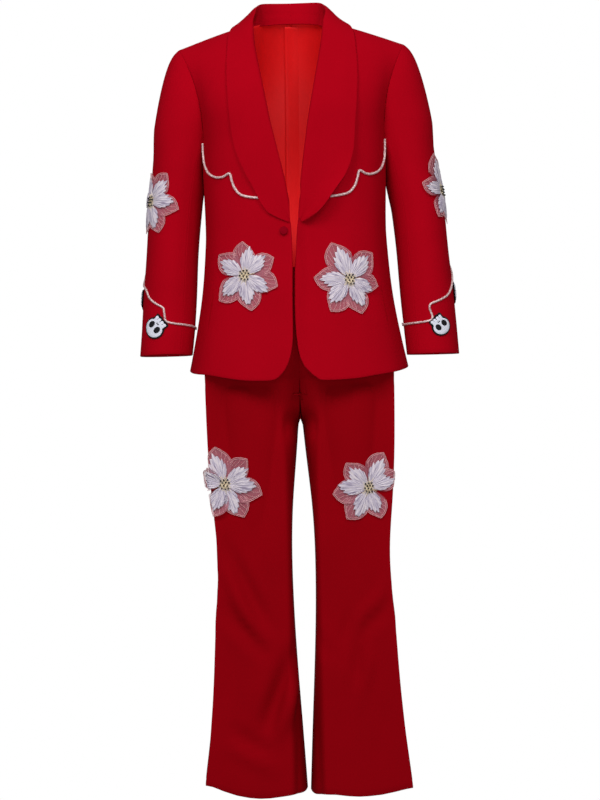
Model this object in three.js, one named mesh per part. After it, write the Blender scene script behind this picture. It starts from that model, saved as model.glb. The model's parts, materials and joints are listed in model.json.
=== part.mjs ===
// A western suit that holds the shape of its wearer with nobody in it: a shawl-collar jacket that hangs
// open edge to edge, with long two-piece sleeves, over flared trousers. Silver cord follows the western
// yoke on the fronts and the pointed cuffs. Six flower appliques and four skull patches are sewn on.
//
// Millimetres. +Z is up, the front faces -Y, and the wearer's left side is +X. The origin lies between
// the two points where the shoulder seams meet the neck. Each cloth piece is a thin wall on a surface
// (u, v) -> point, written for the wearer's left side and mirrored for the right.
import * as THREE from "three";

// ---------- driving sizes ----------
const CLOTH = 2; // wall of the suiting
const LINING = 0.8; // wall of the satin
const COLLAR = 2.2; // wall of the collar and lapels, two cloths thick
const SEAM = 0.3; // gap where two pieces are sewn together
const EASE = 0.7; // how far a facetted piece keeps off the curved cloth below it
const DEG = Math.PI / 180;

const NECK_X = 75; // neck end of the shoulder seam
const SHOULDER = { x: 221, z: -47 };
const NAPE = { y: 60, z: 18 }; // centre back of the neck seam
const ARMHOLE = { z: -158, rise: 111, front: 54, back: 52, x: 200.5, lean: 20.5, hollow: 19.3 };
const ARMHOLE_TURN = 125; // degrees round the armhole from its top to where the body panels divide
const BREAK_Z = -400; // where the lapels end and the front edges begin
const HEM = { side: -674, front: -703, back: -679, cornerHigh: 110, cornerWide: { left: 52, right: 64 } };
const TORSO_SQUARE = 2.7; // superellipse power of a level section through the jacket
const SEAT_SQUARE = 2.35;
const LEG_SQUARE = 2.15;

// Level sections of the jacket: half width, depth in front of and behind the side seam.
const JACKET = [
  { z: -190, side: 180, front: 120, back: 126 },
  { z: -269, side: 180, front: 123, back: 126 },
  { z: -346, side: 178, front: 123, back: 118 },
  { z: -405, side: 176.6, front: 121, back: 109 },
  { z: -484, side: 181.5, front: 123, back: 115 },
  { z: -542, side: 188, front: 126, back: 125 },
  { z: -601, side: 198, front: 130, back: 135 },
  { z: -672, side: 213, front: 135, back: 144 },
  { z: -707, side: 221, front: 138, back: 147 },
];
// The line where the lapel rolls over, and below the break the front edge, with half the gap there.
const ROLL = [
  { z: 0, x: 75 },
  { z: -25, x: 70.5 },
  { z: -65, x: 64 },
  { z: -100, x: 58 },
  { z: -168, x: 46 },
  { z: -244, x: 33 },
  { z: -339, x: 18 },
  { z: -387, x: 9 },
  { z: -400, x: 6 },
  { z: -440, x: 4.2 },
  { z: -490, x: 3 },
  { z: -720, x: 3 },
];
const GAP_SHIFT = 1.5; // the gap between the front edges lies this far to the wearer's right
// Level sections of a sleeve: centre, half width, half depth, and how much higher its front edge lies.
const SLEEVE = [
  { z: -330, x: 236.5, y: 2, across: 53, deep: 61, tilt: 0 },
  { z: -405, x: 243.5, y: 0, across: 51.5, deep: 59, tilt: 0 },
  { z: -464, x: 248, y: -5, across: 51, deep: 57, tilt: 0.03 },
  { z: -523, x: 252, y: -13, across: 52, deep: 54, tilt: 0.06 },
  { z: -582, x: 256, y: -22, across: 52, deep: 51, tilt: 0.09 },
  { z: -653, x: 261.5, y: -32, across: 51, deep: 49, tilt: 0.12 },
];
const CUFF_RISE = { left: 3, right: 11 }; // how far each cuff ends above the last section
// The crown of a sleeve leaves the armhole outward and down, most at the shoulder point, and arrives
// along the arm, which leans out a little; `swing` is how much more at the top than at the sides.
const CROWN = {
  leave: { out: 18, swing: 12, spread: 8, down: 16 },
  arrive: { lean: 0.085, reach: 68, swing: 58 },
};
const SLEEVE_SEAM = { front: -125, back: 110 }; // degrees round the sleeve, 0 outward and 90 to the back
const SEAT = [
  { z: -484, side: 157, front: 98, back: 103 },
  { z: -540, side: 165, front: 101, back: 109 },
  { z: -600, side: 175.5, front: 103, back: 116 },
  { z: -672, side: 183.5, front: 105, back: 124 },
  { z: -735, side: 183, front: 104, back: 119 },
];
const WAIST_Z = -484;
const BAND = 36;
const CROTCH_Z = -735;
const FORK = { front: 95, back: 120 }; // height over which the seat seam curves from the crotch to upright
const LEG = [
  { z: -735, out: 184, inn: 0.3, front: 100, back: 112 },
  { z: -768, out: 183.5, inn: 0.4, front: 98, back: 104 },
  { z: -790, out: 183, inn: 2, front: 97, back: 100 },
  { z: -827, out: 182, inn: 7.5, front: 95, back: 95 },
  { z: -915, out: 177.5, inn: 16, front: 90, back: 86 },
  { z: -974, out: 171, inn: 20.5, front: 85, back: 80 },
  { z: -1062, out: 168, inn: 22.5, front: 78, back: 74 },
  { z: -1121, out: 172, inn: 21.5, front: 76, back: 76 },
  { z: -1210, out: 178, inn: 18.5, front: 76, back: 79 },
  { z: -1298, out: 183, inn: 14, front: 77, back: 82 },
  { z: -1386, out: 191, inn: 9, front: 78, back: 85 },
  { z: -1508, out: 203, inn: 2.5, front: 79, back: 89 },
];
const LEG_HEM = { front: -1504, back: -1508 };

// ---------- small helpers ----------
const vec = (x, y, z) => new THREE.Vector3(x, y, z);
const mix = (a, b, t) => a + (b - a) * t;
const clamp = (a, low, high) => Math.min(high, Math.max(low, a));
const ease = (t) => t * t * (3 - 2 * t);
const bow = (a, power) => Math.sign(a) * Math.abs(a) ** power;
const steps = (from, to, count) => Array.from({ length: count + 1 }, (_, i) => mix(from, to, i / count));

// One column of a table at a height, on a smooth curve through the rows, which run downwards.
function read(table, column, z) {
  const at = clamp(z, table[table.length - 1].z, table[0].z);
  let i = 0;
  while (i < table.length - 2 && table[i + 1].z > at) i += 1;
  const slope = (k) => {
    const above = table[Math.max(k - 1, 0)];
    const below = table[Math.min(k + 1, table.length - 1)];
    return (below[column] - above[column]) / (below.z - above.z);
  };
  const [a, b] = [table[i], table[i + 1]];
  const span = b.z - a.z;
  const t = (at - a.z) / span;
  const bend = (1 - t) * (1 - t) * t * span * slope(i) - t * t * (1 - t) * span * slope(i + 1);
  return a[column] * (1 + 2 * t) * (1 - t) ** 2 + b[column] * t * t * (3 - 2 * t) + bend;
}

// ---------- the jacket's body ----------
// Half width at a depth on the level section at z. y is negative in front.
function sectionX(z, y) {
  const depth = read(JACKET, y < 0 ? "front" : "back", z);
  const share = Math.min(1, (Math.abs(y) / depth) ** TORSO_SQUARE);
  return read(JACKET, "side", z) * (1 - share) ** (1 / TORSO_SQUARE);
}

// A point on the level section, angle 0 at the side seam and 90 degrees at the centre.
function sectionPoint(z, angle, face) {
  const power = 2 / TORSO_SQUARE;
  const x = read(JACKET, "side", z) * bow(Math.cos(angle), power);
  const y = read(JACKET, face, z) * bow(Math.sin(angle), power);
  return vec(x, face === "front" ? -y : y, z);
}

function sectionAngle(z, x) {
  return Math.acos((x / read(JACKET, "side", z)) ** (TORSO_SQUARE / 2));
}

// The armhole seam, turn 0 at the shoulder point and 180 at the underarm.
function armhole(turn, face) {
  const [c, s] = [Math.cos(turn * DEG), Math.sin(turn * DEG)];
  const y = (face === "front" ? -ARMHOLE.front : ARMHOLE.back) * s;
  const z = ARMHOLE.z + ARMHOLE.rise * c;
  const upper = ARMHOLE.x + ARMHOLE.lean * c - ARMHOLE.hollow * s * s;
  return vec(turn > ARMHOLE_TURN ? sectionX(z, y) : upper, y, z);
}

// The shoulder seam, share 0 at the shoulder point and 1 at the neck.
function shoulderSeam(share) {
  const x = mix(SHOULDER.x, NECK_X, share);
  return vec(x, 0, SHOULDER.z * ((x - NECK_X) / (SHOULDER.x - NECK_X)) ** 1.15);
}

function neckSeam(share) {
  const turn = share * 90 * DEG;
  const across = mix(Math.cos(turn), 1 - share, 0.5);
  return vec(NECK_X * across, NAPE.y * Math.sin(turn), NAPE.z * Math.sin(turn));
}

const DIVIDE_Z = armhole(ARMHOLE_TURN, "front").z; // the level that parts the lower and upper body
const SHOULDER_SHARE = 0.62; // of the back's upper edge, the rest is the neck

// The front edge of a front panel at a height: just inside the roll of the lapel, or at the opening.
function frontEdge(z, side) {
  const x = read(ROLL, "x", z);
  const opening = ease(clamp((BREAK_Z + 30 - z) / 30, 0, 1));
  return x + mix(1.6, -side * GAP_SHIFT, opening);
}

// Where a front panel rises from the divide to the neck along the roll line.
function neckRoll(share, side) {
  const turn = share * 90 * DEG;
  const z = DIVIDE_Z * (1 - Math.sin(turn) ** 1.05);
  const x = frontEdge(z, side);
  const chest = sectionPoint(DIVIDE_Z, sectionAngle(DIVIDE_Z, x), "front").y;
  return vec(mix(x, NECK_X, share ** 6), chest * Math.cos(turn) ** 1.05, z);
}

function spine(share) {
  const z = mix(DIVIDE_Z, NAPE.z, share);
  return vec(0, NAPE.y + (read(JACKET, "back", DIVIDE_Z) - NAPE.y) * (1 - share ** 2.2), z);
}

// A patch between four edges. The lower and upper edges fade smoothly up the patch, and the armhole
// fades quickly across it, so the chest and the shoulder blade stay full.
function fill(u, v, lower, upper, arm, centre) {
  const g = 1 - (1 - u) ** 2;
  const f = ease(v);
  const corners = [
    [lower(0), (1 - f) * (1 - g)],
    [lower(1), (1 - f) * g],
    [upper(0), f * (1 - g)],
    [upper(1), f * g],
  ];
  const point = lower(u).multiplyScalar(1 - f).addScaledVector(upper(u), f);
  point.addScaledVector(arm(v), 1 - g).addScaledVector(centre(v), g);
  for (const [corner, weight] of corners) point.addScaledVector(corner, -weight);
  return point;
}

// A body panel: u 0 at the side seam and 1 at the centre; v 0 at the hem, 1 at the divide, 2 at the top.
// Columns below the underarm, u under UNDERARM_U, end at the armhole.
const UNDERARM_U = 0.2;
const NECK_POINT_U = mix(UNDERARM_U, 1, SHOULDER_SHARE);
function bodyPanel(face, side) {
  const isFront = face === "front";
  const armholeAt = armhole(ARMHOLE_TURN, face);
  const centreX = (z) => (isFront ? frontEdge(z, side) : 0);
  const turnAngle = Math.asin((Math.abs(armholeAt.y) / read(JACKET, face, DIVIDE_Z)) ** (TORSO_SQUARE / 2));
  const angleAt = (u, z) => {
    const last = sectionAngle(z, centreX(z));
    if (u < UNDERARM_U) return (turnAngle * u) / UNDERARM_U;
    return mix(turnAngle, last, (u - UNDERARM_U) / (1 - UNDERARM_U));
  };
  const hemAt = (u) => {
    if (!isFront) return mix(HEM.side, HEM.back, ease(u));
    const dip = mix(HEM.side, HEM.front, 1 - (1 - u) ** 1.25);
    const x = sectionPoint(HEM.front, angleAt(u, HEM.front), face).x - centreX(HEM.front);
    const round = clamp(1 - x / HEM.cornerWide[side > 0 ? "left" : "right"], 0, 1);
    return dip + HEM.cornerHigh * (1 - Math.sqrt(1 - round * round));
  };
  const topAt = (u) => {
    if (u >= UNDERARM_U) return DIVIDE_Z;
    const share = Math.sin((turnAngle * u) / UNDERARM_U) ** (2 / TORSO_SQUARE);
    const y = (share * read(JACKET, face, DIVIDE_Z)) / ARMHOLE[face];
    return ARMHOLE.z - ARMHOLE.rise * Math.sqrt(1 - y * y);
  };
  const lowerEdge = (w) => sectionPoint(DIVIDE_Z, angleAt(mix(UNDERARM_U, 1, w), DIVIDE_Z), face);
  const upperEdge = (w) => {
    if (isFront) return shoulderSeam(w);
    if (w < SHOULDER_SHARE) return shoulderSeam(w / SHOULDER_SHARE);
    return neckSeam((w - SHOULDER_SHARE) / (1 - SHOULDER_SHARE));
  };
  const armEdge = (w) => armhole(ARMHOLE_TURN * (1 - w), face);
  const centreEdge = (w) => (isFront ? neckRoll(w, side) : spine(w));
  const at = (u, v) => {
    let point;
    if (v <= 1) {
      const z = mix(hemAt(u), topAt(u), v);
      point = sectionPoint(z, angleAt(u, z), face);
    } else {
      const w = Math.max(0, (u - UNDERARM_U) / (1 - UNDERARM_U));
      point = fill(w, v - 1, lowerEdge, upperEdge, armEdge, centreEdge);
    }
    point.x *= side;
    return point;
  };
  return { at, face, side, out: (isFront ? -1 : 1) * side, low: [0, 0], high: [1, 2] };
}

// ---------- the sleeve ----------
const sleeveV = (z) => 1 + (z - SLEEVE[0].z) / (SLEEVE[SLEEVE.length - 1].z - SLEEVE[0].z);
// angle 0 outward and 90 to the back; v 0 at the armhole, 1 at the upper arm, 2 at the cuff.
function sleeveTube(side) {
  const ring = (z, angle) => {
    const dy = read(SLEEVE, "deep", z) * Math.sin(angle);
    const x = read(SLEEVE, "x", z) + read(SLEEVE, "across", z) * Math.cos(angle);
    return vec(x, read(SLEEVE, "y", z) + dy, z - dy * read(SLEEVE, "tilt", z));
  };
  const [top, bottom] = [SLEEVE[0].z, SLEEVE[SLEEVE.length - 1].z];
  const cap = (turn, t) => {
    const angle = turn * DEG;
    const [c, s] = [Math.cos(angle), Math.sin(angle)];
    const seam = armhole(Math.abs(turn > 180 ? turn - 360 : turn), s < 0 ? "front" : "back");
    seam.x += EASE;
    const leave = vec(CROWN.leave.out + CROWN.leave.swing * c, CROWN.leave.spread * s, -CROWN.leave.down);
    const arrive = vec(-CROWN.arrive.lean, 0, 1).multiplyScalar(CROWN.arrive.reach + CROWN.arrive.swing * c);
    const end = ring(top, angle);
    const curve = new THREE.CubicBezierCurve3(seam, seam.clone().add(leave), end.clone().add(arrive), end);
    return curve.getPoint(t);
  };
  const at = (turn, v) => {
    const point = v < 1 ? cap(turn, v) : ring(mix(top, bottom, v - 1), turn * DEG);
    point.x *= side;
    return point;
  };
  return { at, out: -side, low: [-360, 0], high: [360, 2] };
}

// ---------- the trousers ----------
// u 0 at the outseam and 1 at the inseam or the centre; v 0 at the hem, 1 at the crotch, 2 at the band.
function legPanel(face, side) {
  const sign = face === "front" ? -1 : 1;
  const leg = (u, z) => {
    const angle = u * 180 * DEG;
    const [out, inn] = [read(LEG, "out", z), read(LEG, "inn", z)];
    const x = mix(inn, out, 0.5) + ((out - inn) / 2) * bow(Math.cos(angle), 2 / LEG_SQUARE);
    return vec(x, sign * read(LEG, face, z) * bow(Math.sin(angle), 2 / LEG_SQUARE), z);
  };
  const seat = (u, z) => {
    const angle = u * 90 * DEG;
    const x = read(SEAT, "side", z) * bow(Math.cos(angle), 2 / SEAT_SQUARE);
    return vec(x, sign * read(SEAT, face, z) * bow(Math.sin(angle), 2 / SEAT_SQUARE), z);
  };
  const height = WAIST_Z - BAND - SEAM - CROTCH_Z;
  const seamHem = mix(LEG_HEM.front, LEG_HEM.back, 0.5);
  const hemAt = (u) => mix(seamHem, LEG_HEM[face], 4 * u * (1 - u));
  const at = (u, v) => {
    let point;
    if (v <= 1) {
      point = leg(u, mix(hemAt(u), CROTCH_Z, v));
    } else {
      const s = v - 1;
      const turn = Math.min(1, (s * height) / FORK[face]) * 90 * DEG;
      const over = Math.max(0, s * height - FORK[face]);
      const fork = FORK[face] * (1 - Math.cos(turn));
      const z = CROTCH_Z + mix(s * height, fork + over, u ** 3);
      point = leg(u, CROTCH_Z).lerp(seat(u, z), Math.sin(turn));
      point.z = z;
    }
    point.x *= side;
    return point;
  };
  return { at, out: (face === "front" ? -1 : 1) * side, low: [0, 0], high: [1, 2] };
}

// The waistband: u 0 at the centre front and 1 at the centre back; v 0 at its foot and 1 at its top.
function waistband(side) {
  const at = (u, v) => {
    const z = mix(WAIST_Z - BAND, WAIST_Z, v);
    const angle = (90 - 180 * u) * DEG;
    const face = u < 0.5 ? "front" : "back";
    const x = read(SEAT, "side", z) * bow(Math.abs(Math.cos(angle)), 2 / SEAT_SQUARE);
    const y = -read(SEAT, face, z) * bow(Math.sin(angle), 2 / SEAT_SQUARE);
    return vec(side * x, y, z);
  };
  return { at, out: side, low: [0, 0], high: [1, 1] };
}

// ---------- points on a surface ----------
function slopes(surface, u, v) {
  const reach = [1e-3 * (surface.high[0] - surface.low[0]), 1e-3];
  const span = (axis) => {
    const here = [u, v];
    const [a, b] = [here.slice(), here.slice()];
    a[axis] = Math.max(surface.low[axis], here[axis] - reach[axis]);
    b[axis] = Math.min(surface.high[axis], here[axis] + reach[axis]);
    return surface.at(...b).sub(surface.at(...a)).divideScalar(b[axis] - a[axis]);
  };
  return [span(0), span(1)];
}

function ownNormal(surface, u, v) {
  const [su, sv] = slopes(surface, u, v);
  return su.cross(sv).normalize().multiplyScalar(surface.out);
}

// The outward normal. Along the shoulder seam a front and a back share the mean of their normals, so
// that their edges meet evenly.
function normalAt(surface, u, v) {
  const own = ownNormal(surface, u, v);
  const share = (u - UNDERARM_U) / (surface.face === "back" ? NECK_POINT_U - UNDERARM_U : 1 - UNDERARM_U);
  if (!surface.face || v < 2 || share < 0 || share > 1.001) return own;
  const other = bodyPanel(surface.face === "back" ? "front" : "back", surface.side);
  const across = mix(UNDERARM_U, surface.face === "back" ? 1 : NECK_POINT_U, share);
  return own.add(ownNormal(other, across, v)).normalize();
}

function lifted(surface, u, v, lift) {
  return surface.at(u, v).addScaledVector(normalAt(surface, u, v), lift);
}

// Solves for the small (du, dv) that moves a point of the surface by `move`.
function stepFor(surface, u, v, move) {
  const [su, sv] = slopes(surface, u, v);
  const [a, b, c] = [su.dot(su), su.dot(sv), sv.dot(sv)];
  const [p, q] = [su.dot(move), sv.dot(move)];
  const d = a * c - b * b;
  return [(c * p - b * q) / d, (a * q - b * p) / d];
}

// Walks over the cloth from (u, v): `right` and `up` are millimetres as seen from outside.
function walk(surface, start, right, up) {
  const count = 6;
  let [u, v] = start;
  for (let i = 0; i < count; i += 1) {
    const n = normalAt(surface, u, v);
    const level = vec(0, 0, 1).cross(n).normalize();
    const rise = n.clone().cross(level);
    const move = level.multiplyScalar(right / count).addScaledVector(rise, up / count);
    const [du, dv] = stepFor(surface, u, v, move);
    u += du;
    v += dv;
  }
  return [u, v];
}

// The (u, v) of the point that lies at x, z in a straight view from the front or the back.
function findAt(surface, x, z) {
  let [u, v] = [0.6, z < DIVIDE_Z ? 0.6 : 1.4];
  for (let i = 0; i < 40; i += 1) {
    const [su, sv] = slopes(surface, u, v);
    const here = surface.at(u, v);
    const d = su.x * sv.z - sv.x * su.z;
    const [dx, dz] = [x - here.x, z - here.z];
    const du = clamp((dx * sv.z - dz * sv.x) / d, -0.1, 0.1);
    const dv = clamp((dz * su.x - dx * su.z) / d, -0.1, 0.1);
    u = clamp(u + du, surface.low[0], surface.high[0]);
    v = clamp(v + dv, surface.low[1], surface.high[1]);
    if (Math.abs(dx) + Math.abs(dz) < 1e-3) break;
  }
  return [u, v];
}

// ---------- solids ----------
function geometry(points, triangles) {
  const shape = new THREE.BufferGeometry();
  shape.setAttribute("position", new THREE.Float32BufferAttribute(points.flatMap((p) => [p.x, p.y, p.z]), 3));
  shape.setIndex(triangles.flat());
  return shape;
}

// The corners of a cell of a net, anticlockwise from outside, split along the same diagonal both ways.
function corners(index, i, j, out) {
  const [a, b, c, d] = [index(i, j), index(i + 1, j), index(i + 1, j + 1), index(i, j + 1)];
  return out > 0 ? [a, b, c, d] : [a, d, c, b];
}

// A wall from a net of cells: two skins of the same net, and a rim along every open edge.
function wallOf(outer, inner, cells) {
  const count = outer.length;
  const triangles = [];
  const open = new Map();
  for (const [a, b, c, d] of cells) {
    triangles.push([a, b, c], [a, c, d]);
    triangles.push([count + a, count + c, count + b], [count + a, count + d, count + c]);
    for (const [from, to] of [[a, b], [b, c], [c, d], [d, a]]) {
      if (!open.delete(`${to} ${from}`)) open.set(`${from} ${to}`, [from, to]);
    }
  }
  for (const [from, to] of open.values()) {
    triangles.push([from, count + from, to], [to, count + from, count + to]);
  }
  const used = [...new Set(triangles.flat())];
  const place = new Map(used.map((old, i) => [old, i]));
  const all = [...outer, ...inner];
  return geometry(used.map((i) => all[i]), triangles.map((t) => t.map((i) => place.get(i))));
}

// A piece of cloth on a surface over a net of u and v values. Open edges that meet a sewn neighbour
// stand back by half a seam's gap. `keep` leaves out cells of the net.
function clothPiece(surface, us, vs, { thick = CLOTH, under = 0, keep = () => true, trim = SEAM / 2 } = {}) {
  const index = (i, j) => j * us.length + i;
  const middle = vs.flatMap((v) => us.map((u) => surface.at(u, v)));
  const normals = vs.flatMap((v) => us.map((u) => normalAt(surface, u, v)));
  const cells = [];
  const kept = (i, j) => i >= 0 && j >= 0 && i < us.length - 1 && j < vs.length - 1 && keep(us[i], vs[j]);
  const moved = middle.map((p) => p.clone());
  for (let j = 0; j < vs.length; j += 1) {
    for (let i = 0; i < us.length; i += 1) {
      const here = index(i, j);
      const pull = (open, ni, nj) => {
        if (!open) return;
        const way = middle[index(ni, nj)].clone().sub(middle[here]).normalize();
        moved[here].addScaledVector(way, trim);
      };
      const cell = (a, b) => kept(i + a, j + b);
      if (!(cell(0, 0) || cell(-1, 0) || cell(0, -1) || cell(-1, -1))) continue;
      pull(!cell(-1, 0) && !cell(-1, -1), i + 1, j);
      pull(!cell(0, 0) && !cell(0, -1), i - 1, j);
      pull(!cell(0, -1) && !cell(-1, -1), i, j + 1);
      pull(!cell(0, 0) && !cell(-1, 0), i, j - 1);
      if (cell(0, 0)) {
        cells.push(corners(index, i, j, surface.out));
      }
    }
  }
  const skin = (depth) => moved.map((p, i) => p.clone().addScaledVector(normals[i], -depth));
  return wallOf(skin(under), skin(under + thick), cells);
}

// A flat plate wrapped on the cloth: an outline of [right, up] points about a start, in rings.
function patchPiece(surface, start, outline, lift, thick, rings = 2) {
  const count = outline.length;
  const spots = [[0, 0]];
  for (let k = 1; k <= rings; k += 1) {
    for (const [a, b] of outline) spots.push([(a * k) / rings, (b * k) / rings]);
  }
  const places = spots.map(([a, b]) => walk(surface, start, a, b));
  const skin = (height) => places.map(([u, v]) => lifted(surface, u, v, height));
  const [top, bottom] = [skin(lift + thick), skin(lift)];
  const all = [...top, ...bottom];
  const triangles = [];
  const at = (k, i) => 1 + (k - 1) * count + (i % count);
  for (let i = 0; i < count; i += 1) {
    const faces = [[0, at(1, i), at(1, i + 1)]];
    for (let k = 1; k < rings; k += 1) {
      faces.push([at(k, i), at(k + 1, i), at(k + 1, i + 1)], [at(k, i), at(k + 1, i + 1), at(k, i + 1)]);
    }
    for (const [a, b, c] of faces) {
      triangles.push([a, b, c], [a + top.length, c + top.length, b + top.length]);
    }
    const [a, b] = [at(rings, i), at(rings, i + 1)];
    triangles.push([a, a + top.length, b], [b, a + top.length, b + top.length]);
  }
  return geometry(all, triangles);
}

function cordPiece(points, radius, count) {
  const route = new THREE.CatmullRomCurve3(points, false, "centripetal");
  const round = new THREE.Shape();
  round.absarc(0, 0, radius, 0, 2 * Math.PI);
  const options = { steps: count, bevelEnabled: false, extrudePath: route, curveSegments: 3 };
  return new THREE.ExtrudeGeometry(round, options);
}

// ---------- the shawl collar ----------
// Rows from the centre back round to the break. `seam` is the place on the neck edge: 1 at the centre
// back, 0 at the neck point, and below 0 down a front panel's edge, where v is 2 + seam. `roll` is
// where the collar rolls over, on the panel's edge if not given; `edge` is the x and z of its outer edge.
const COLLAR_ROWS = [
  { seam: 1, roll: [0, 71, 50], edge: [0, 3] },
  { seam: 0.671, roll: [35, 63.5, 49.3], edge: [46, 0] },
  { seam: 0.342, roll: [58, 41, 45.5], edge: [82, -9] },
  { seam: 0.17, roll: [64.6, 26, 39.5], edge: [97, -10] },
  { seam: 0, roll: [68.5, 8, 32], edge: [108, -9] },
  { seam: -0.17, roll: [70.5, -26, 10], edge: [119, -26] },
  { seam: -0.34, roll: [67.5, -55, -27], edge: [122.5, -55] },
  { seam: -0.5, edge: [123.5, -88] },
  { seam: -0.66, edge: [123, -127] },
  { seam: -0.83, edge: [117.5, -180] },
  { seam: -1, edge: [106.5, -233] },
  { seam: -1.12, edge: [93.2, -278] },
  { seam: -1.23, edge: [75.5, -322] },
  { seam: -1.34, edge: [50.5, -366] },
  { seam: -1.385, edge: [36, -383] },
  { seam: -1.43, edge: [21, -394] },
  { seam: -1.448, edge: [12, -400] },
];
const HOOK = { out: 3.4, inn: 5, deep: 4 }; // the fold clears the edge of the panel by these
const ROLL_CLEAR = 2.6; // how far the roll lies beside the edge of a front panel
const RETURN = 13; // how far the facing runs back inside a front panel
const FOOT = { back: 7.6, front: 5.8, down: 5, beside: 3.8 }; // how the inner leg's end clears the panels

function collarStrip(side) {
  const front = bodyPanel("front", side);
  const back = bodyPanel("back", side);
  const given = ([x, y, z]) => vec(side * x, y, z);
  const rows = COLLAR_ROWS.map((row) => {
    const onFront = row.seam < -0.4;
    const surface = row.seam > 0 ? back : front;
    const seam = row.seam > 0 ? [mix(NECK_POINT_U, 1, row.seam), 2] : [1, 2 + row.seam];
    const beside = vec(-side * ROLL_CLEAR, 0, 0);
    const roll = row.roll ? given(row.roll) : lifted(surface, ...seam, -CLOTH / 2).add(beside);
    const [x, z] = row.edge;
    const edge = lifted(surface, ...findAt(surface, side * x, z), COLLAR / 2 + SEAM + EASE);
    const reach = Math.min(RETURN, Math.abs(edge.x) - Math.abs(roll.x));
    let neck = lifted(surface, seam[0], seam[1] - 1e-3, -FOOT.back).add(vec(0, 0, -FOOT.down));
    if (row.seam <= 0) neck = surface.at(...seam).add(vec(-side * FOOT.beside, 0, -2 * FOOT.down));
    if (onFront) neck = lifted(surface, ...findAt(surface, roll.x + side * reach, roll.z - 1), -FOOT.front);
    const toNeck = neck.clone().sub(roll).normalize();
    const toEdge = edge.clone().sub(roll).normalize();
    const crest = toNeck.clone().add(toEdge).normalize().negate();
    const outward = toEdge.clone().sub(toNeck);
    outward.addScaledVector(crest, -outward.dot(crest)).normalize();
    const base = roll.clone().addScaledVector(crest, -HOOK.deep);
    const foldIn = base.clone().addScaledVector(outward, onFront ? -HOOK.inn : -HOOK.out);
    const foldOut = base.clone().addScaledVector(outward, HOOK.out);
    const fall = [0.3, 0.65].map((t) => foldOut.clone().lerp(edge, t));
    return [neck, foldIn, roll.clone().addScaledVector(crest, 1), foldOut, ...fall, edge];
  });
  const lift = COLLAR / 2 + SEAM + EASE;
  for (let round = 0; round < 8; round += 1) settle(rows, [3, 4, 5, 6], [front, back], lift);
  return rows;
}

// Lets a strip's columns rest on the cloth: wherever a cell of it comes nearer than `lift` to the
// surfaces, its corners move out.
function settle(rows, columns, surfaces, lift) {
  const spots = [0, 1 / 3, 2 / 3, 1].flatMap((s) => [0, 1 / 3, 2 / 3, 1].map((t) => [s, t]));
  for (let j = 0; j + 1 < rows.length; j += 1) {
    for (let k = 0; k + 1 < columns.length; k += 1) {
      const cell = [rows[j], rows[j + 1]].flatMap((row) => [row[columns[k]], row[columns[k + 1]]]);
      for (const [s, t] of spots) {
        const shares = [(1 - s) * (1 - t), (1 - s) * t, s * (1 - t), s * t];
        const spot = vec(0, 0, 0);
        cell.forEach((corner, i) => spot.addScaledVector(corner, shares[i]));
        const { height, normal } = heightOver(surfaces, spot);
        if (height > lift) continue;
        cell.forEach((corner, i) => corner.addScaledVector(normal, (lift - height) * shares[i]));
      }
    }
  }
}

// How far a point stands off the nearest place of some surfaces, and the outward normal there.
function heightOver(surfaces, point) {
  let best = null;
  for (const surface of surfaces) {
    const [u, v] = nearest(surface, point);
    const away = point.clone().sub(surface.at(u, v));
    if (!best || away.length() < best.far - 1e-6) {
      const normal = normalAt(surface, u, v);
      best = { far: away.length(), height: away.dot(normal), normal };
    }
  }
  return best;
}

function nearest(surface, point) {
  let start = null;
  for (const u of steps(UNDERARM_U, 1, 6)) {
    for (const v of steps(0.4, 2, 8)) {
      const far = surface.at(u, v).distanceTo(point);
      if (!start || far < start.far) start = { u, v, far };
    }
  }
  let { u, v } = start;
  for (let i = 0; i < 8; i += 1) {
    const [du, dv] = stepFor(surface, u, v, point.clone().sub(surface.at(u, v)));
    u = clamp(u + clamp(du, -0.1, 0.1), UNDERARM_U, 1);
    v = clamp(v + clamp(dv, -0.15, 0.15), 0.3, 2);
  }
  return [u, v];
}

// A wall along a strip of rows of points, half its thickness to each side. The first row lies in the
// middle plane, and its end stays in that plane.
function stripPiece(rows, thick, out) {
  const wide = rows[0].length;
  const index = (i, j) => j * wide + i;
  const at = (i, j) => rows[clamp(j, 0, rows.length - 1)][clamp(i, 0, wide - 1)];
  const points = [];
  const normals = [];
  rows.forEach((row, j) => {
    row.forEach((p, i) => {
      const across = at(i + 1, j).clone().sub(at(i - 1, j));
      const along = at(i, j + 1).clone().sub(at(i, j - 1));
      points.push(p.clone());
      const normal = across.cross(along);
      if (j === 0) normal.x = 0;
      normals.push(normal.normalize().multiplyScalar(out));
    });
  });
  const cells = [];
  for (let j = 0; j < rows.length - 1; j += 1) {
    for (let i = 0; i < wide - 1; i += 1) {
      cells.push(corners(index, i, j, out));
    }
  }
  const skin = (depth) => points.map((p, i) => p.clone().addScaledVector(normals[i], depth));
  return wallOf(skin(thick / 2), skin(-thick / 2), cells);
}

// ---------- trims ----------
// The silver cord on the fronts, as x and z from the armhole in to the lapel.
const YOKE_ROUTE = [
  [175.5, -236], [174.5, -256], [171.5, -276], [163, -297], [150, -308], [136, -309], [123, -304],
  [118.5, -318], [112, -334], [101, -347], [86, -352.5], [66, -355],
];
const YOKE_RADIUS = 2.4;
// The silver cord round a cuff, as turn round the sleeve and height, from the inner side of the front
// seam over the outer point and back to the inner side.
const CUFF_ROUTE = [
  [-178, -597], [-140, -596], [-100, -590], [-86, -581], [-82, -566], [-70, -556], [-45, -547],
  [-22, -533], [-6, -516], [8, -494], [24, -478], [40, -494], [54, -516], [72, -533], [98, -547],
  [122, -556], [134, -566], [138, -581], [150, -592], [178, -597],
];
const CUFF_RADIUS = 2.1;

const ORGANZA_THICK = 0.8;
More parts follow.
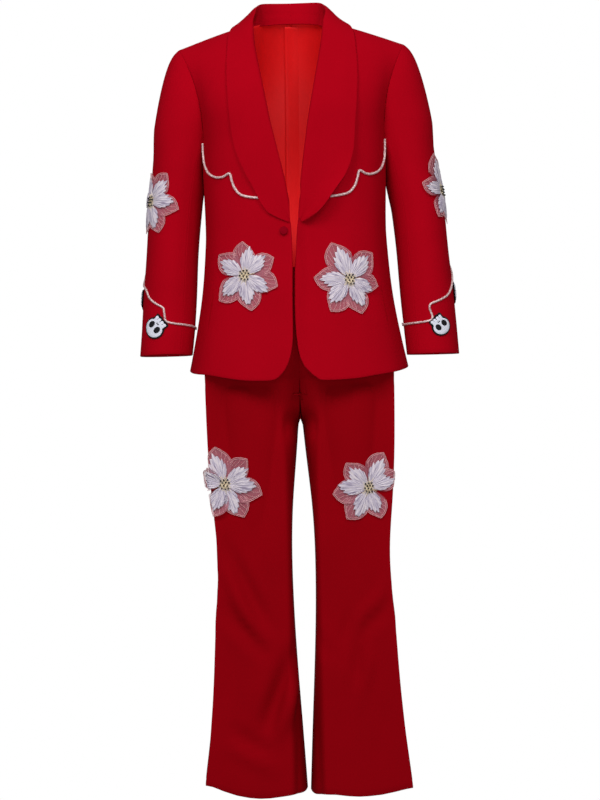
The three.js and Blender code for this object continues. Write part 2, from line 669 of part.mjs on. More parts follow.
// Six petals: turn of each petal's tip and its length, about the flower's centre.
const PETALS = [
  { turn: 92, long: 0.94 },
  { turn: 34, long: 0.95 },
  { turn: -22, long: 0.97 },
  { turn: -79, long: 1.05 },
  { turn: -139, long: 1.03 },
  { turn: 147, long: 1 },
];
// Round each petal: share of the way from the valley before it to the one after it, and reach.
const ORGANZA_SHAPE = [
  { share: 0, reach: 0.6 },
  { share: 0.22, reach: 0.86 },
  { share: 0.5, reach: 1 },
  { share: 0.78, reach: 0.86 },
];
const PETAL_SHAPE = [
  { share: 0, reach: 0.3 },
  { share: 0.27, reach: 0.6 },
  { share: 0.5, reach: 0.82 },
  { share: 0.73, reach: 0.6 },
];

function flowerOutline(radius, turn, shape) {
  const outline = [];
  PETALS.forEach((petal, i) => {
    const before = PETALS[(i + PETALS.length - 1) % PETALS.length];
    const after = PETALS[(i + 1) % PETALS.length];
    const wrap = (angle) => ((angle % 360) + 360) % 360;
    const from = petal.turn + wrap(before.turn - petal.turn) / 2;
    const to = petal.turn - wrap(petal.turn - after.turn) / 2;
    for (const { share, reach } of shape) {
      const half = share < 0.5 ? mix(from, petal.turn, share * 2) : mix(petal.turn, to, share * 2 - 1);
      const angle = (half + turn) * DEG;
      const length = radius * reach * mix(1, petal.long, Math.max(0, (reach - 0.3) / 0.7));
      outline.push([length * Math.cos(angle), length * Math.sin(angle)]);
    }
  });
  return outline.reverse();
}

// A skull's outline: a round crown below and a narrower row of teeth above, turned on the cuff.
function skullOutline(size, turn) {
  const shape = [
    [-0.25, 0.5], [-0.28, 0.3], [-0.47, 0.14], [-0.5, -0.1], [-0.38, -0.36], [-0.14, -0.49],
    [0.14, -0.49], [0.38, -0.36], [0.5, -0.1], [0.47, 0.14], [0.28, 0.3], [0.25, 0.5],
  ];
  const [c, s] = [Math.cos(turn * DEG), Math.sin(turn * DEG)];
  return shape.map(([a, b]) => [size * (a * c - b * s), size * (a * s + b * c)]);
}

// ---------- colours ----------
function finish(color, roughness, metalness = 0) {
  return new THREE.MeshStandardMaterial({ color, roughness, metalness });
}
const SUITING = finish(0xa00016, 0.75);
const TROUSER_CLOTH = finish(0x86000c, 0.8);
const SATIN = finish(0xc81e1e, 0.4);
const SILVER = finish(0xd8cfd0, 0.35, 0.6);
const ORGANZA = finish(0xb04858, 0.6);
const PETAL = finish(0xe6dfe6, 0.7);
const PATCH = finish(0xd9dce8, 0.7);
const COVERED = finish(0x6e0008, 0.6);

// ---------- the suit ----------
const suit = new THREE.Group();
function add(name, shape, material) {
  const mesh = new THREE.Mesh(shape, material);
  mesh.name = name;
  suit.add(mesh);
}

const BACK_US = [0, 0.1, UNDERARM_U, 0.37, 0.54, NECK_POINT_U, 0.8, 0.9, 1];
const FRONT_US = [0, 0.1, UNDERARM_U, 0.37, 0.54, 0.7, 0.82, 0.89, 0.95, 1];
const FRONT_VS = [0, 0.12, 0.28, 0.43, 0.57, 0.615, 0.66, 0.77, 0.88, 1, 1.17, 1.34, 1.5, 1.66, 1.83, 2];
const BACK_VS = [0, 0.12, 0.28, 0.44, 0.6, 0.8, 1, 1.17, 1.34, 1.5, 1.66, 1.83, 2];
const belowArm = (u, v) => u >= UNDERARM_U - 1e-6 || v < 1 - 1e-6;

function addJacketSide(name, side) {
  const front = bodyPanel("front", side);
  const back = bodyPanel("back", side);
  const sleeve = sleeveTube(side);
  add(`front_${name}`, clothPiece(front, FRONT_US, FRONT_VS, { keep: belowArm, trim: SEAM }), SUITING);
  add(`back_${name}`, clothPiece(back, BACK_US, BACK_VS, { keep: belowArm }), SUITING);
  const lining = { thick: LINING, under: CLOTH + 1, keep: belowArm, trim: 2 };
  add(`lining_${name}`, clothPiece(back, BACK_US, BACK_VS, lining), SATIN);
  const cuffV = sleeveV(SLEEVE[SLEEVE.length - 1].z + CUFF_RISE[name]);
  const drops = [0, 0.18, 0.4, 0.7, 1, 1.2, 1.4, 1.6, 1.8, cuffV];
  const outer = steps(SLEEVE_SEAM.front, SLEEVE_SEAM.back, 10);
  const under = steps(SLEEVE_SEAM.back, SLEEVE_SEAM.front + 360, 6);
  add(`sleeve_top_${name}`, clothPiece(sleeve, outer, drops), SUITING);
  add(`sleeve_under_${name}`, clothPiece(sleeve, under, drops), SUITING);
  const rows = collarStrip(side);
  for (const p of rows[0]) p.x = (side * SEAM) / 2;
  add(`collar_${name}`, stripPiece(rows, COLLAR, -side), SUITING);
}

function addTrims(name, side) {
  const front = bodyPanel("front", side);
  const sleeve = sleeveTube(side);
  const yoke = YOKE_ROUTE.map(([x, z]) => {
    const [u, v] = findAt(front, side * x, z);
    return lifted(front, u, v, YOKE_RADIUS + SEAM + 0.2);
  });
  add(`yoke_cord_${name}`, cordPiece(yoke, YOKE_RADIUS, 26), SILVER);
  const cuff = CUFF_ROUTE.flatMap(([turn, z], i) => {
    const [next, nextZ] = CUFF_ROUTE[i + 1] ?? [turn, z];
    const parts = Math.max(1, Math.round(Math.abs(next - turn) / 13));
    return steps(0, 1, parts).slice(0, i + 1 < CUFF_ROUTE.length ? -1 : 1).map((t) => {
      return lifted(sleeve, mix(turn, next, t), sleeveV(mix(z, nextZ, t)), CUFF_RADIUS + SEAM + EASE);
    });
  });
  add(`cuff_cord_${name}`, cordPiece(cuff, CUFF_RADIUS, 44), SILVER);
}

// Flowers and patches: on which surface, where, how big and how turned, as seen from outside.
function addFlower(name, surface, start, { radius, turn, rings, lift, apart }) {
  const base = flowerOutline(radius, turn, ORGANZA_SHAPE);
  const petals = flowerOutline(radius, turn + 2, PETAL_SHAPE);
  add(`organza_${name}`, patchPiece(surface, start, base, lift, ORGANZA_THICK, rings), ORGANZA);
  add(`petals_${name}`, patchPiece(surface, start, petals, lift + ORGANZA_THICK + apart, 1.2, rings), PETAL);
}

addJacketSide("left", 1);
addJacketSide("right", -1);
addTrims("left", 1);
addTrims("right", -1);

const FLOWER = 68;
const frontLeft = bodyPanel("front", 1);
const frontRight = bodyPanel("front", -1);
const onFront = { radius: FLOWER, rings: 2, lift: 2.2, apart: 1.6 };
const onSleeve = { radius: FLOWER - 2, rings: 3, lift: 2.6, apart: 2.1 };
const onLeg = { radius: FLOWER - 1, rings: 2, lift: 2.1, apart: 2 };
addFlower("front_right", frontRight, findAt(frontRight, -101, -501), { ...onFront, turn: 0 });
addFlower("front_left", frontLeft, findAt(frontLeft, 101, -511), { ...onFront, turn: 14 });
addFlower("sleeve_right", sleeveTube(-1), [-30, sleeveV(-351)], { ...onSleeve, turn: 20 });
addFlower("sleeve_left", sleeveTube(1), [-18, sleeveV(-331)], { ...onSleeve, turn: -8 });
const legV = (z) => (z - LEG_HEM.front) / (CROTCH_Z - LEG_HEM.front);
addFlower("leg_right", legPanel("front", -1), [0.289, legV(-900)], { ...onLeg, turn: 10 });
addFlower("leg_left", legPanel("front", 1), [0.387, legV(-906)], { ...onLeg, lift: 2.7, turn: 25 });

const SKULL = 44;
for (const [name, side] of [["left", 1], ["right", -1]]) {
  const sleeve = sleeveTube(side);
  const front = [-68, sleeveV(-600)];
  const outer = [24, sleeveV(-534)];
  const lift = 2 * EASE + SEAM / 2;
  add(`skull_front_${name}`, patchPiece(sleeve, front, skullOutline(SKULL, side * 38), lift, 1.5), PATCH);
  add(`skull_outer_${name}`, patchPiece(sleeve, outer, skullOutline(SKULL, side * 8), lift, 1.5), PATCH);
}

// The covered button stands on the wearer's right front, at the break.
const BUTTON = { radius: 8, thick: 4, x: -23, z: -416 };
const buttonShape = new THREE.CylinderGeometry(BUTTON.radius, BUTTON.radius, BUTTON.thick, 16);
const [buttonU, buttonV] = findAt(frontRight, BUTTON.x, BUTTON.z);
const buttonAxis = normalAt(frontRight, buttonU, buttonV);
const button = new THREE.Mesh(buttonShape, COVERED);
button.name = "button";
button.quaternion.setFromUnitVectors(vec(0, 1, 0), buttonAxis);
button.position.copy(lifted(frontRight, buttonU, buttonV, BUTTON.thick / 2 + EASE + 2 * SEAM));
suit.add(button);

for (const [name, side] of [["left", 1], ["right", -1]]) {
  const legUs = steps(0, 1, 8);
  const legVs = [0, 0.15, 0.3, 0.45, 0.6, 0.74, 0.88, 1, 1.13, 1.26, 1.39, 1.6, 2];
  add(`trouser_front_${name}`, clothPiece(legPanel("front", side), legUs, legVs), TROUSER_CLOTH);
  add(`trouser_back_${name}`, clothPiece(legPanel("back", side), legUs, legVs), TROUSER_CLOTH);
  add(`waistband_${name}`, clothPiece(waistband(side), steps(0, 1, 14), [0, 1]), TROUSER_CLOTH);
}

export default suit;
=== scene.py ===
# %% [markdown]
# # A western suit with embroidered flowers
# The real suit is a shawl-collar jacket and flared trousers in red wool, with silver cord on the
# western yoke and cuffs, organza flowers and small skull patches. It keeps the shape of a wearer with
# nobody in it. The frame gives every piece its size and place. Each cloth piece here starts as the
# outer skin of its solid in the frame, is smoothed, creased, turned in at its edges as a tailor
# would, and gets its thickness last.

# %% Start from the frame
import json
import math

import bmesh
import bpy
import numpy as np
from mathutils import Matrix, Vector, noise
from mathutils.bvhtree import BVHTree
from mathutils.kdtree import KDTree

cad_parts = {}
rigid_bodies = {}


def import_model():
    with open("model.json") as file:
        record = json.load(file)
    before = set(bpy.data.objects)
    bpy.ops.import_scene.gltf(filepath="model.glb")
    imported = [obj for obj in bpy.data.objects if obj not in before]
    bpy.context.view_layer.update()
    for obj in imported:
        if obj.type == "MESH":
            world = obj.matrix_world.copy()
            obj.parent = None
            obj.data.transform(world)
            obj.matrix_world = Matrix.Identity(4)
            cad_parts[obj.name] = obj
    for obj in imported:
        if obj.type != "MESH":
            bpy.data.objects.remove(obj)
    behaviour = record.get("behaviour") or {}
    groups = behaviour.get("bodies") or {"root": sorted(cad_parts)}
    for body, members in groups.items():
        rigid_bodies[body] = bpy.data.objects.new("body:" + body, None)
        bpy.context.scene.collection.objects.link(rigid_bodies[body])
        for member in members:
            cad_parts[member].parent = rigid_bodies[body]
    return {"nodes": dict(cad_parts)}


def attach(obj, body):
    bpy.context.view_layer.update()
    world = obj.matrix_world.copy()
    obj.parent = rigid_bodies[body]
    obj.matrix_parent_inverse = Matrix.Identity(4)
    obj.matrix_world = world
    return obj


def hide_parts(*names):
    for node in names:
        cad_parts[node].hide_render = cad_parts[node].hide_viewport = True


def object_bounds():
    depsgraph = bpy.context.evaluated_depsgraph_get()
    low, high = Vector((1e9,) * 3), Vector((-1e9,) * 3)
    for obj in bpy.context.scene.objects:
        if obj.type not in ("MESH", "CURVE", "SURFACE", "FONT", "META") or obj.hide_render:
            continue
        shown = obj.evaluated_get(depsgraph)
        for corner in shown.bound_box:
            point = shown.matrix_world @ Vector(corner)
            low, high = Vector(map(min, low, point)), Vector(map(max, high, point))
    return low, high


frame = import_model()
cad_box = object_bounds()
bpy.ops.object.select_all(action="DESELECT")
MM = 0.001
# the wearer's left is on the side of +x, and the suit looks towards -y
SIDES = (("left", 1), ("right", -1))
print(len(frame["nodes"]), "nodes, box", [[round(x, 3) for x in corner] for corner in cad_box])

# %% [markdown]
# ## Camera
# The suit is seen level from 4 m with a long lens, at the height of the jacket's hem, and hangs a
# little off plumb. A small roll of the camera gives that lean, so that the suit itself stays plumb.

# %% Camera
bpy.ops.object.camera_add(location=(0, -4.0, -0.739), rotation=(math.radians(90), 0, 0))
camera = bpy.context.object
camera.rotation_euler.rotate_axis("Z", math.radians(-1.4))
camera.data.lens = 91.7
camera.data.sensor_width = 36
bpy.context.scene.camera = camera
bpy.context.scene.view_settings.view_transform = "Standard"
print("camera at", [round(x, 2) for x in camera.location])

# %% [markdown]
# ## Helpers for materials
# A maker names a colour by a hex value. Blender computes in linear light, so one function turns the
# hex value into linear numbers. One more function adds a shader node with its settings and links,
# and a third starts a material.


# %% Colours and nodes
def linear(hex_colour):
    """A six-digit sRGB hex colour as linear red, green, blue and full alpha."""
    shares = [int(hex_colour[i : i + 2], 16) / 255 for i in (0, 2, 4)]
    curve = [s / 12.92 if s <= 0.04045 else ((s + 0.055) / 1.055) ** 2.4 for s in shares]
    return (*curve, 1.0)


def add_node(tree, kind, inputs=None, shades=(), **settings):
    """Adds a node. An input is a value, or the socket of another node that links to it. The shades of
    a colour ramp are hex colours, each with its position from 0 to 1."""
    made = tree.nodes.new("ShaderNode" + kind)
    for key, value in settings.items():
        setattr(made, key, value)
    for key, value in (inputs or {}).items():
        if isinstance(value, bpy.types.NodeSocket):
            tree.links.new(value, made.inputs[key])
        else:
            made.inputs[key].default_value = value
    for k, (position, colour) in enumerate(shades):
        stops = made.color_ramp.elements
        stop = stops[k] if k < 2 else stops.new(position)
        stop.position, stop.color = position, linear(colour)
    return made


def new_material(name, roughness, specular=0.5, metallic=0.0):
    """A material with its shader's constant values set on the shader itself."""
    material = bpy.data.materials.new(name)
    material.use_nodes = True
    shader = material.node_tree.nodes["Principled BSDF"]
    shader.inputs["Roughness"].default_value = roughness
    shader.inputs["Specular IOR Level"].default_value = specular
    shader.inputs["Metallic"].default_value = metallic
    return material, material.node_tree, shader


print("red wool in linear light:", [round(x, 3) for x in linear("B20419")[:3]])

# %% [markdown]
# ## The red wool
# The suiting is a light worsted wool, dyed in the yarn and pressed flat. Pressed worsted has almost
# no gloss, so its specular level is close to none, and what the eye gets is a deep even red with a
# faint cloudiness from the pressing. The twill is 0.5 mm from rib to rib, too fine to show from 4 m,
# so the ribs are drawn 2.4 mm apart. The trousers are of the same cloth in a deeper red.


# %% Wool materials
def wool(name, deep, light, rib=2.4 * MM, relief=0.05 * MM):
    """Pressed worsted: cloudy colour, twill ribs that run up to the right, and a little fuzz."""
    material, tree, shader = new_material(name, roughness=0.85, specular=0.03)
    place = add_node(tree, "TexCoord").outputs["Object"]
    cloud = add_node(tree, "TexNoise", {"Vector": place, "Scale": 9.0, "Detail": 3.0})
    fuzz = add_node(tree, "TexNoise", {"Vector": place, "Scale": 900.0, "Detail": 2.0})
    both = add_node(tree, "Math", {0: cloud.outputs["Fac"], 1: fuzz.outputs["Fac"]}, operation="ADD")
    half = add_node(tree, "Math", {0: both.outputs[0], 1: 0.5}, operation="MULTIPLY")
    colour = add_node(tree, "ValToRGB", {"Fac": half.outputs[0]}, shades=((0.3, deep), (0.7, light)))
    turned = add_node(tree, "Mapping", {"Vector": place, "Rotation": (0, math.radians(35), 0)})
    # a wave texture of scale s repeats every tau / (20 s) metres
    twill = add_node(tree, "TexWave", {"Vector": turned.outputs[0], "Scale": math.tau / (20 * rib),
                                       "Distortion": 0.4})
    bump = add_node(tree, "Bump", {"Height": twill.outputs["Fac"], "Distance": relief,
                                   "Strength": 0.6})
    tree.links.new(colour.outputs["Color"], shader.inputs["Base Color"])
    tree.links.new(bump.outputs["Normal"], shader.inputs["Normal"])
    return material


SUITING = wool("worsted_wool_red", "9C0012", "A80015")
TROUSER_WOOL = wool("worsted_wool_red_trousers", "88000B", "92000D")
print("wool materials made")

# %% [markdown]
# ## The satin lining
# A viscose satin is woven so that long warp floats lie on its face. That gives a soft shine that
# stretches across the warp, and here an orange red that is lighter than the wool. The warp's lines
# are drawn about 1 mm apart, because the real 0.1 mm wouldn't show.


# %% Lining material
def satin():
    """Lining satin: fine warp lines down the cloth and a soft broad shine."""
    material, tree, shader = new_material("satin_lining_red", roughness=0.5, specular=0.1)
    place = add_node(tree, "TexCoord").outputs["Object"]
    stretched = add_node(tree, "Mapping", {"Vector": place, "Scale": (1, 1, 0.04)})
    warp = add_node(tree, "TexNoise", {"Vector": stretched.outputs[0], "Scale": 700.0, "Detail": 2.0})
    colour = add_node(tree, "ValToRGB", {"Fac": warp.outputs["Fac"]},
                      shades=((0, "DE161A"), (1, "EE1B1E")))
    bump = add_node(tree, "Bump", {"Height": warp.outputs["Fac"], "Distance": 0.1 * MM,
                                   "Strength": 0.4})
    tree.links.new(colour.outputs["Color"], shader.inputs["Base Color"])
    tree.links.new(bump.outputs["Normal"], shader.inputs["Normal"])
    return material


LINING_SATIN = satin()
print("lining material made")

# %% [markdown]
# ## Helpers for meshes
# An operator acts on what is selected, so one helper selects a single object. The others read and
# write a mesh's points as rows of numbers, which makes moving thousands of them quick.


# %% Mesh helpers
def only(obj):
    """Makes one object the only selected one, and the active one."""
    bpy.ops.object.select_all(action="DESELECT")
    obj.select_set(True)
    bpy.context.view_layer.objects.active = obj


def points_of(mesh):
    """A mesh's points as rows of x, y and z."""
    flat = np.empty(len(mesh.vertices) * 3, np.float32)
    mesh.vertices.foreach_get("co", flat)
    return flat.reshape(-1, 3).astype(float)


def normals_of(mesh):
    """The way out of the surface at each of a mesh's points."""
    flat = np.empty(len(mesh.vertices) * 3, np.float32)
    mesh.vertex_normals.foreach_get("vector", flat)
    return flat.reshape(-1, 3).astype(float)


def set_points(mesh, points):
    """Moves a mesh's points to new places."""
    mesh.vertices.foreach_set("co", points.astype(np.float32).ravel())
    mesh.update()


def apply_modifier(obj, kind, **settings):
    """Adds a modifier with its settings and applies it."""
    only(obj)
    bpy.ops.object.modifier_add(type=kind)
    modifier = obj.modifiers[-1]
    for key, value in settings.items():
        setattr(modifier, key, value)
    bpy.ops.object.modifier_apply(modifier=modifier.name)


def mesh_object(name, points, faces):
    """A new object from rows of points and faces."""
    mesh = bpy.data.meshes.new(name)
    mesh.from_pydata([tuple(p) for p in points], [], [tuple(int(i) for i in f) for f in faces])
    made = bpy.data.objects.new(name, mesh)
    bpy.context.collection.objects.link(made)
    return made


def dress(obj, material, slot, *nodes):
    """Gives a finished piece its material and its body, and hides the nodes it stands for. The
    slot is not used.
    """
    obj.data.materials.clear()
    obj.data.materials.append(material)
    for polygon in obj.data.polygons:
        polygon.use_smooth = True
    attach(obj, "root")
    if nodes:
        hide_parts(*nodes)
    return obj


print("the left front has", len(points_of(frame["nodes"]["front_left"].data)), "points in the frame")


# %% Helpers for tables
def kind_of(node):
    """A node's name without its side, such as sleeve_top."""
    return node.rsplit("_", 1)[0]


def ease(share):
    """From 0 to 1 as the share does, but level at both ends."""
    return share * share * (3 - 2 * share)


def table_at(table, height, column=1):
    """A column of a table at a height, read between its rows; the first column is the height."""
    return np.interp(height, *zip(*[(row[0], row[column]) for row in table]))


print("half way from 0 to 4 at 5 of 10:", table_at([(0, 0), (10, 4)], 5))

# %% [markdown]
# ## From a solid to one smooth skin
# A cloth solid in the frame is a wall: an outer skin, an inner skin and a narrow rim. Every rim face
# has an edge as short as the wall is thick, so the rim can be found and deleted, and one skin is
# kept. The skin is triangles, each cell of its net cut along the same diagonal. A corner that only
# one triangle touches shows where the first diagonal lies, and every next one follows from it, so
# they can be dissolved.


# %% The net of a skin
def next_diagonals(diagonal):
    """The diagonals of the cells beside a cell, given its own."""
    for face in diagonal.link_faces:
        for edge in face.edges:
            if edge is diagonal:
                continue
            free = next(v for v in edge.verts if v not in diagonal.verts)
            for other in edge.link_faces:
                if other is face:
                    continue
                apex = next(v for v in other.verts if v not in edge.verts)
                yield next(e for e in other.edges if free in e.verts and apex in e.verts)


def select_diagonals(shape):
    """Selects the diagonal of every cell, starting from a corner with a single triangle."""
    corners = [v for v in shape.verts if len(v.link_faces) == 1]
    corner = max(corners, key=lambda v: v.co.z)
    first = next(e for e in corner.link_faces[0].edges if corner not in e.verts)
    found, todo = {first}, [first]
    while todo:
        for edge in next_diagonals(todo.pop()):
            if edge not in found:
                found.add(edge)
                todo.append(edge)
    for edge in found:
        edge.select_set(True)


# a rim face has an edge shorter than this, in mm
RIM = {"lining": 1.2, "collar": 2.4, "": 2.8}
print("rims up to", max(RIM.values()), "mm wide are left out")


# %% One skin of a solid
def skin_of(node, facing, rim):
    """The outer skin of a node's solid as a net of quads; facing is the way it mostly looks."""
    skin = bpy.data.objects.new("cloth_" + node, frame["nodes"][node].data.copy())
    bpy.context.collection.objects.link(skin)
    only(skin)
    bpy.ops.object.mode_set(mode="EDIT")
    bpy.ops.mesh.select_mode(type="FACE")
    bpy.ops.mesh.select_all(action="SELECT")
    bpy.ops.mesh.remove_doubles(threshold=0.02 * MM)
    bpy.ops.mesh.select_all(action="DESELECT")
    for face in bmesh.from_edit_mesh(skin.data).faces:
        face.select_set(min(edge.calc_length() for edge in face.edges) < rim * MM)
    bpy.ops.mesh.delete(type="FACE")
    shape = bmesh.from_edit_mesh(skin.data)
    max(shape.faces, key=lambda face: face.normal.dot(facing)).select_set(True)
    bpy.ops.mesh.select_linked()
    bpy.ops.mesh.select_all(action="INVERT")
    bpy.ops.mesh.delete(type="FACE")
    bpy.ops.mesh.select_mode(type="EDGE")
    bpy.ops.mesh.select_all(action="DESELECT")
    select_diagonals(bmesh.from_edit_mesh(skin.data))
    bpy.ops.mesh.dissolve_edges(use_verts=False)
    bpy.ops.object.mode_set(mode="OBJECT")
    return skin


print("ready to take one skin from a solid")

# %% [markdown]
# A Subdivision Surface rounds the net. It would also shrink it, so the net's points are first moved
# until the smooth surface passes through the places they had. Six rounds are enough for that.


# %% Smoothing
def smooth(skin, levels=3):
    """Subdivides a skin so that the smooth surface still passes through its first points."""
    only(skin)
    bpy.ops.object.modifier_add(type="SUBSURF")
    modifier = skin.modifiers[-1]
    modifier.levels = modifier.render_levels = levels
    modifier.boundary_smooth = "PRESERVE_CORNERS"
    wanted = points_of(skin.data)
    for _ in range(6):
        bpy.context.view_layer.update()
        rounded = skin.evaluated_get(bpy.context.evaluated_depsgraph_get()).data
        missed = wanted - points_of(rounded)[: len(wanted)]
        set_points(skin.data, points_of(skin.data) + missed)
    bpy.ops.object.modifier_apply(modifier=modifier.name)
    return float(np.abs(missed).max()) / MM


# the way that each kind of panel mostly looks
FACING = {
    "front": Vector((0, -1, 0)),
    "back": Vector((0, 1, 0)),
    "lining": Vector((0, 1, 0)),
    "trouser_front": Vector((0, -1, 0)),
    "trouser_back": Vector((0, 1, 0)),
}
print(len(FACING), "kinds of panel look the same way on both sides")

# %% [markdown]
# Every cloth panel of the suit goes through the same two steps. The jacket's collar and lapel is one
# strip that rolls over a fold, and its outer skin runs over that fold from the neck to its free edge.

# %% Skins of all cloth panels
skins = {}
for side_name, side in SIDES:
    facing = dict(FACING)
    facing["sleeve_top"] = facing["waistband"] = Vector((side, 0, 0))
    facing["sleeve_under"] = Vector((-side, 0, 0))
    facing["collar"] = Vector((side * 0.3, -1, 0))
    for kind, way in facing.items():
        node = f"{kind}_{side_name}"
        skins[node] = skin_of(node, way, RIM.get(kind, RIM[""]))
        cells = len(skins[node].data.polygons)
        worst = smooth(skins[node])
        print(node, "has", cells, "cells, misses", round(worst, 2), "mm,",
              round(sum(p.area for p in skins[node].data.polygons), 3), "m2")

# %% [markdown]
# ## Laying things on the cloth
# Creases, cords and appliques are all placed on the finished skins. A tree of faces answers where a
# straight line meets the cloth, and where the nearest cloth is. The skins' own normals, blended from
# the few nearest points, tell which way is out.


# %% Cloth that things are laid on
def tree_of(places):
    """A tree that finds the nearest of some places."""
    tree = KDTree(len(places))
    for i, place in enumerate(places):
        tree.insert(place, i)
    tree.balance()
    return tree


class Cloth:
    """Several skins as one surface."""

    def __init__(self, *nodes):
        places, ways, faces, count = [], [], [], 0
        for node in nodes:
            mesh = skins[node].data
            places.append(points_of(mesh))
            ways.append(normals_of(mesh))
            faces += [[i + count for i in p.vertices] for p in mesh.polygons]
            count += len(mesh.vertices)
        self.places, self.ways = np.vstack(places), np.vstack(ways)
        self.faces = BVHTree.FromPolygons(self.places.tolist(), faces)
        self.spots = tree_of(self.places)

    def out(self, place):
        """The way out of the cloth at a place, blended from the nearest points."""
        found = self.spots.find_n(place, 5)
        way = sum((Vector(self.ways[i]) / (far + MM) for _, i, far in found), Vector())
        return way.normalized()

    def nearest(self, place):
        """The place on the cloth that is nearest to another."""
        return self.faces.find_nearest(place)[0]

    def hit(self, start, way):
        """Where a line from a start first meets the cloth."""
        return self.faces.ray_cast(Vector(start), Vector(way))[0]

    def seen(self, x, z, back=False):
        """The place at x and z in mm in a straight view from the front, or from the back."""
        face = 1 if back else -1
        return self.hit((x * MM, face, z * MM), (0, -face, 0))


back_place = Cloth("back_left").seen(60, -300, back=True)
print("the left back, 6 cm out and 30 cm down:", [round(v, 3) for v in back_place])


# %% Smooth lines
def smooth_line(table, spacing):
    """Points at an even spacing on a smooth curve through the rows of a table."""
    rows = np.array(table, float)
    rows = np.vstack([2 * rows[0] - rows[1], rows, 2 * rows[-1] - rows[-2]])
    line = []
    for a, b, c, d in zip(rows, rows[1:], rows[2:], rows[3:]):
        for t in np.linspace(0, 1, 24, endpoint=False):
            line.append(
                b + 0.5 * t * (c - a + t * (2 * a - 5 * b + 4 * c - d + t * (3 * (b - c) + d - a)))
            )
    line = np.array([*line, rows[-2]])
    along = np.concatenate([[0], np.cumsum(np.linalg.norm(np.diff(line, axis=0), axis=1))])
    at = np.linspace(0, along[-1], max(2, round(along[-1] / spacing)))
    return np.stack([np.interp(at, along, line[:, k]) for k in range(line.shape[1])], axis=1)


print("a line through three points at 10 mm:", len(smooth_line([(0, 0), (40, 10), (90, 0)], 10)))

# %% [markdown]
# ## Sewing the seams shut
# Where two panels are sewn, their open edges must meet exactly, or light shows through. Each point
# on an open edge that has a neighbour's edge close by moves to half way between them, and draws the
# cloth near it along. Hems and the jacket's front opening have no partner and stay as they are.

# %% Sewing
SEWN = [
    ["front_left", "back_left", "sleeve_top_left", "sleeve_under_left", "back_right", "front_right",
     "sleeve_top_right", "sleeve_under_right"],
    ["trouser_front_left", "trouser_back_left", "trouser_front_right", "trouser_back_right"],
    ["lining_left", "lining_right"],
    ["collar_left", "collar_right"],
]
# the two panels whose edges lie close but aren't sewn to each other
OPENING = {"front_left", "front_right"}
# how far apart two edges may be to be sewn, and how far in the cloth is drawn along
SEAM_GAP, SEAM_REACH = 7 * MM, 14 * MM


def open_edges(mesh):
    """Pairs of points that an open edge runs between."""
    shape = bmesh.new()
    shape.from_mesh(mesh)
    pairs = [(e.verts[0].index, e.verts[1].index) for e in shape.edges if e.is_boundary]
    shape.free()
    return np.array(pairs)


def drag(mesh, spots, moves, reach):
    """Moves a mesh's points near some spots as those move, fading out over a reach."""
    tree, moves = tree_of(spots), np.asarray(moves, float)
    places = points_of(mesh)
    for i, place in enumerate(places):
        near = tree.find_n(place, 3)
        if near[0][2] < reach:
            weights = np.array([1 / (far + 1e-5) for _, _, far in near])
            move = (moves[[j for _, j, _ in near]] * weights[:, None]).sum(0) / weights.sum()
            places[i] += move * ease(1 - near[0][2] / reach)
    set_points(mesh, places)


print(len(open_edges(skins["front_left"].data)), "open edges round the left front")

# %% Seams
for group in SEWN:
    rims, ends = {}, {}
    for node in group:
        places, pairs = points_of(skins[node].data), open_edges(skins[node].data)
        ends[node] = places[np.unique(pairs)]
        first, second = places[pairs[:, 0]], places[pairs[:, 1]]
        rims[node] = np.vstack([first * (1 - t) + second * t for t in np.linspace(0, 1, 12)])
    for node in group:
        apart = OPENING if node in OPENING else {node}
        others = np.vstack([rims[other] for other in group if other != node and other not in apart])
        tree = tree_of(others)
        spots, moves = [], []
        for place in ends[node]:
            near, _, far = tree.find(place)
            if far < SEAM_GAP:
                spots.append(place)
                moves.append((np.array(near) - place) / 2)
        drag(skins[node].data, spots, moves, SEAM_REACH)
        print(node, len(spots), "edge points sewn, moved up to",
              round(float(np.linalg.norm(moves, axis=1).max()) / MM, 2), "mm")

# %% [markdown]
# ## Trueing the fronts
# The lapels fold a little nearer to the middle than the frame has them, so the cloth round each fold
# is first drawn in. Below the button the fronts hang almost edge to edge, then round off and run into
# the hem in one sweep. Each point on a front's open edge slides over the cloth to meet that line. The
# left edge then lies back a little and the right one forward, so that the two don't touch.

# %% Front edges
# z, x of the lapel's fold, and how far the fold is moved along x, in mm
FOLD = {
    "right": [(-370, -11, 0), (-317, -25, 0), (-260, -32, -4), (-204, -39, -7), (-54, -66, -7),
              (0, -70, -5), (20, -70, 0)],
    "left": [(-400, 4, 0), (-390, 5, -1), (-358, 12, -4), (-317, 22, -7), (-204, 43, -9),
             (-54, 68, -7), (0, 72, -5), (20, 72, 0)],
}
# x and z of a front's free edge in mm, from the lapel's tip down and round into the hem
FRONT_EDGE = {
    "right": [(-9.6, -398), (-8.8, -419), (-8, -459), (-8.5, -491), (-10, -548), (-10.6, -605),
              (-11.6, -628), (-14, -645), (-17.8, -660), (-25.5, -678), (-35.5, -690.5), (-52, -700),
              (-96, -700), (-131, -695.5), (-176, -686.5)],
    "left": [(4.2, -398), (1.9, -419), (-1, -459), (-3.5, -491), (-5.4, -548), (-5.2, -577),
             (-4.4, -602), (-2.6, -625), (0, -648), (3.2, -661), (9.5, -674), (19, -685), (31, -695),
             (46, -702), (107, -700), (151, -693.5)],
}
# how far out from the fold and how far back the cloth goes with it, in mm
FOLD_REACH, FOLD_BACK = 45, 60
# how far from its line an open edge may lie, and how far in the cloth is drawn along, in mm
EDGE_GAP, EDGE_REACH = 30, 60
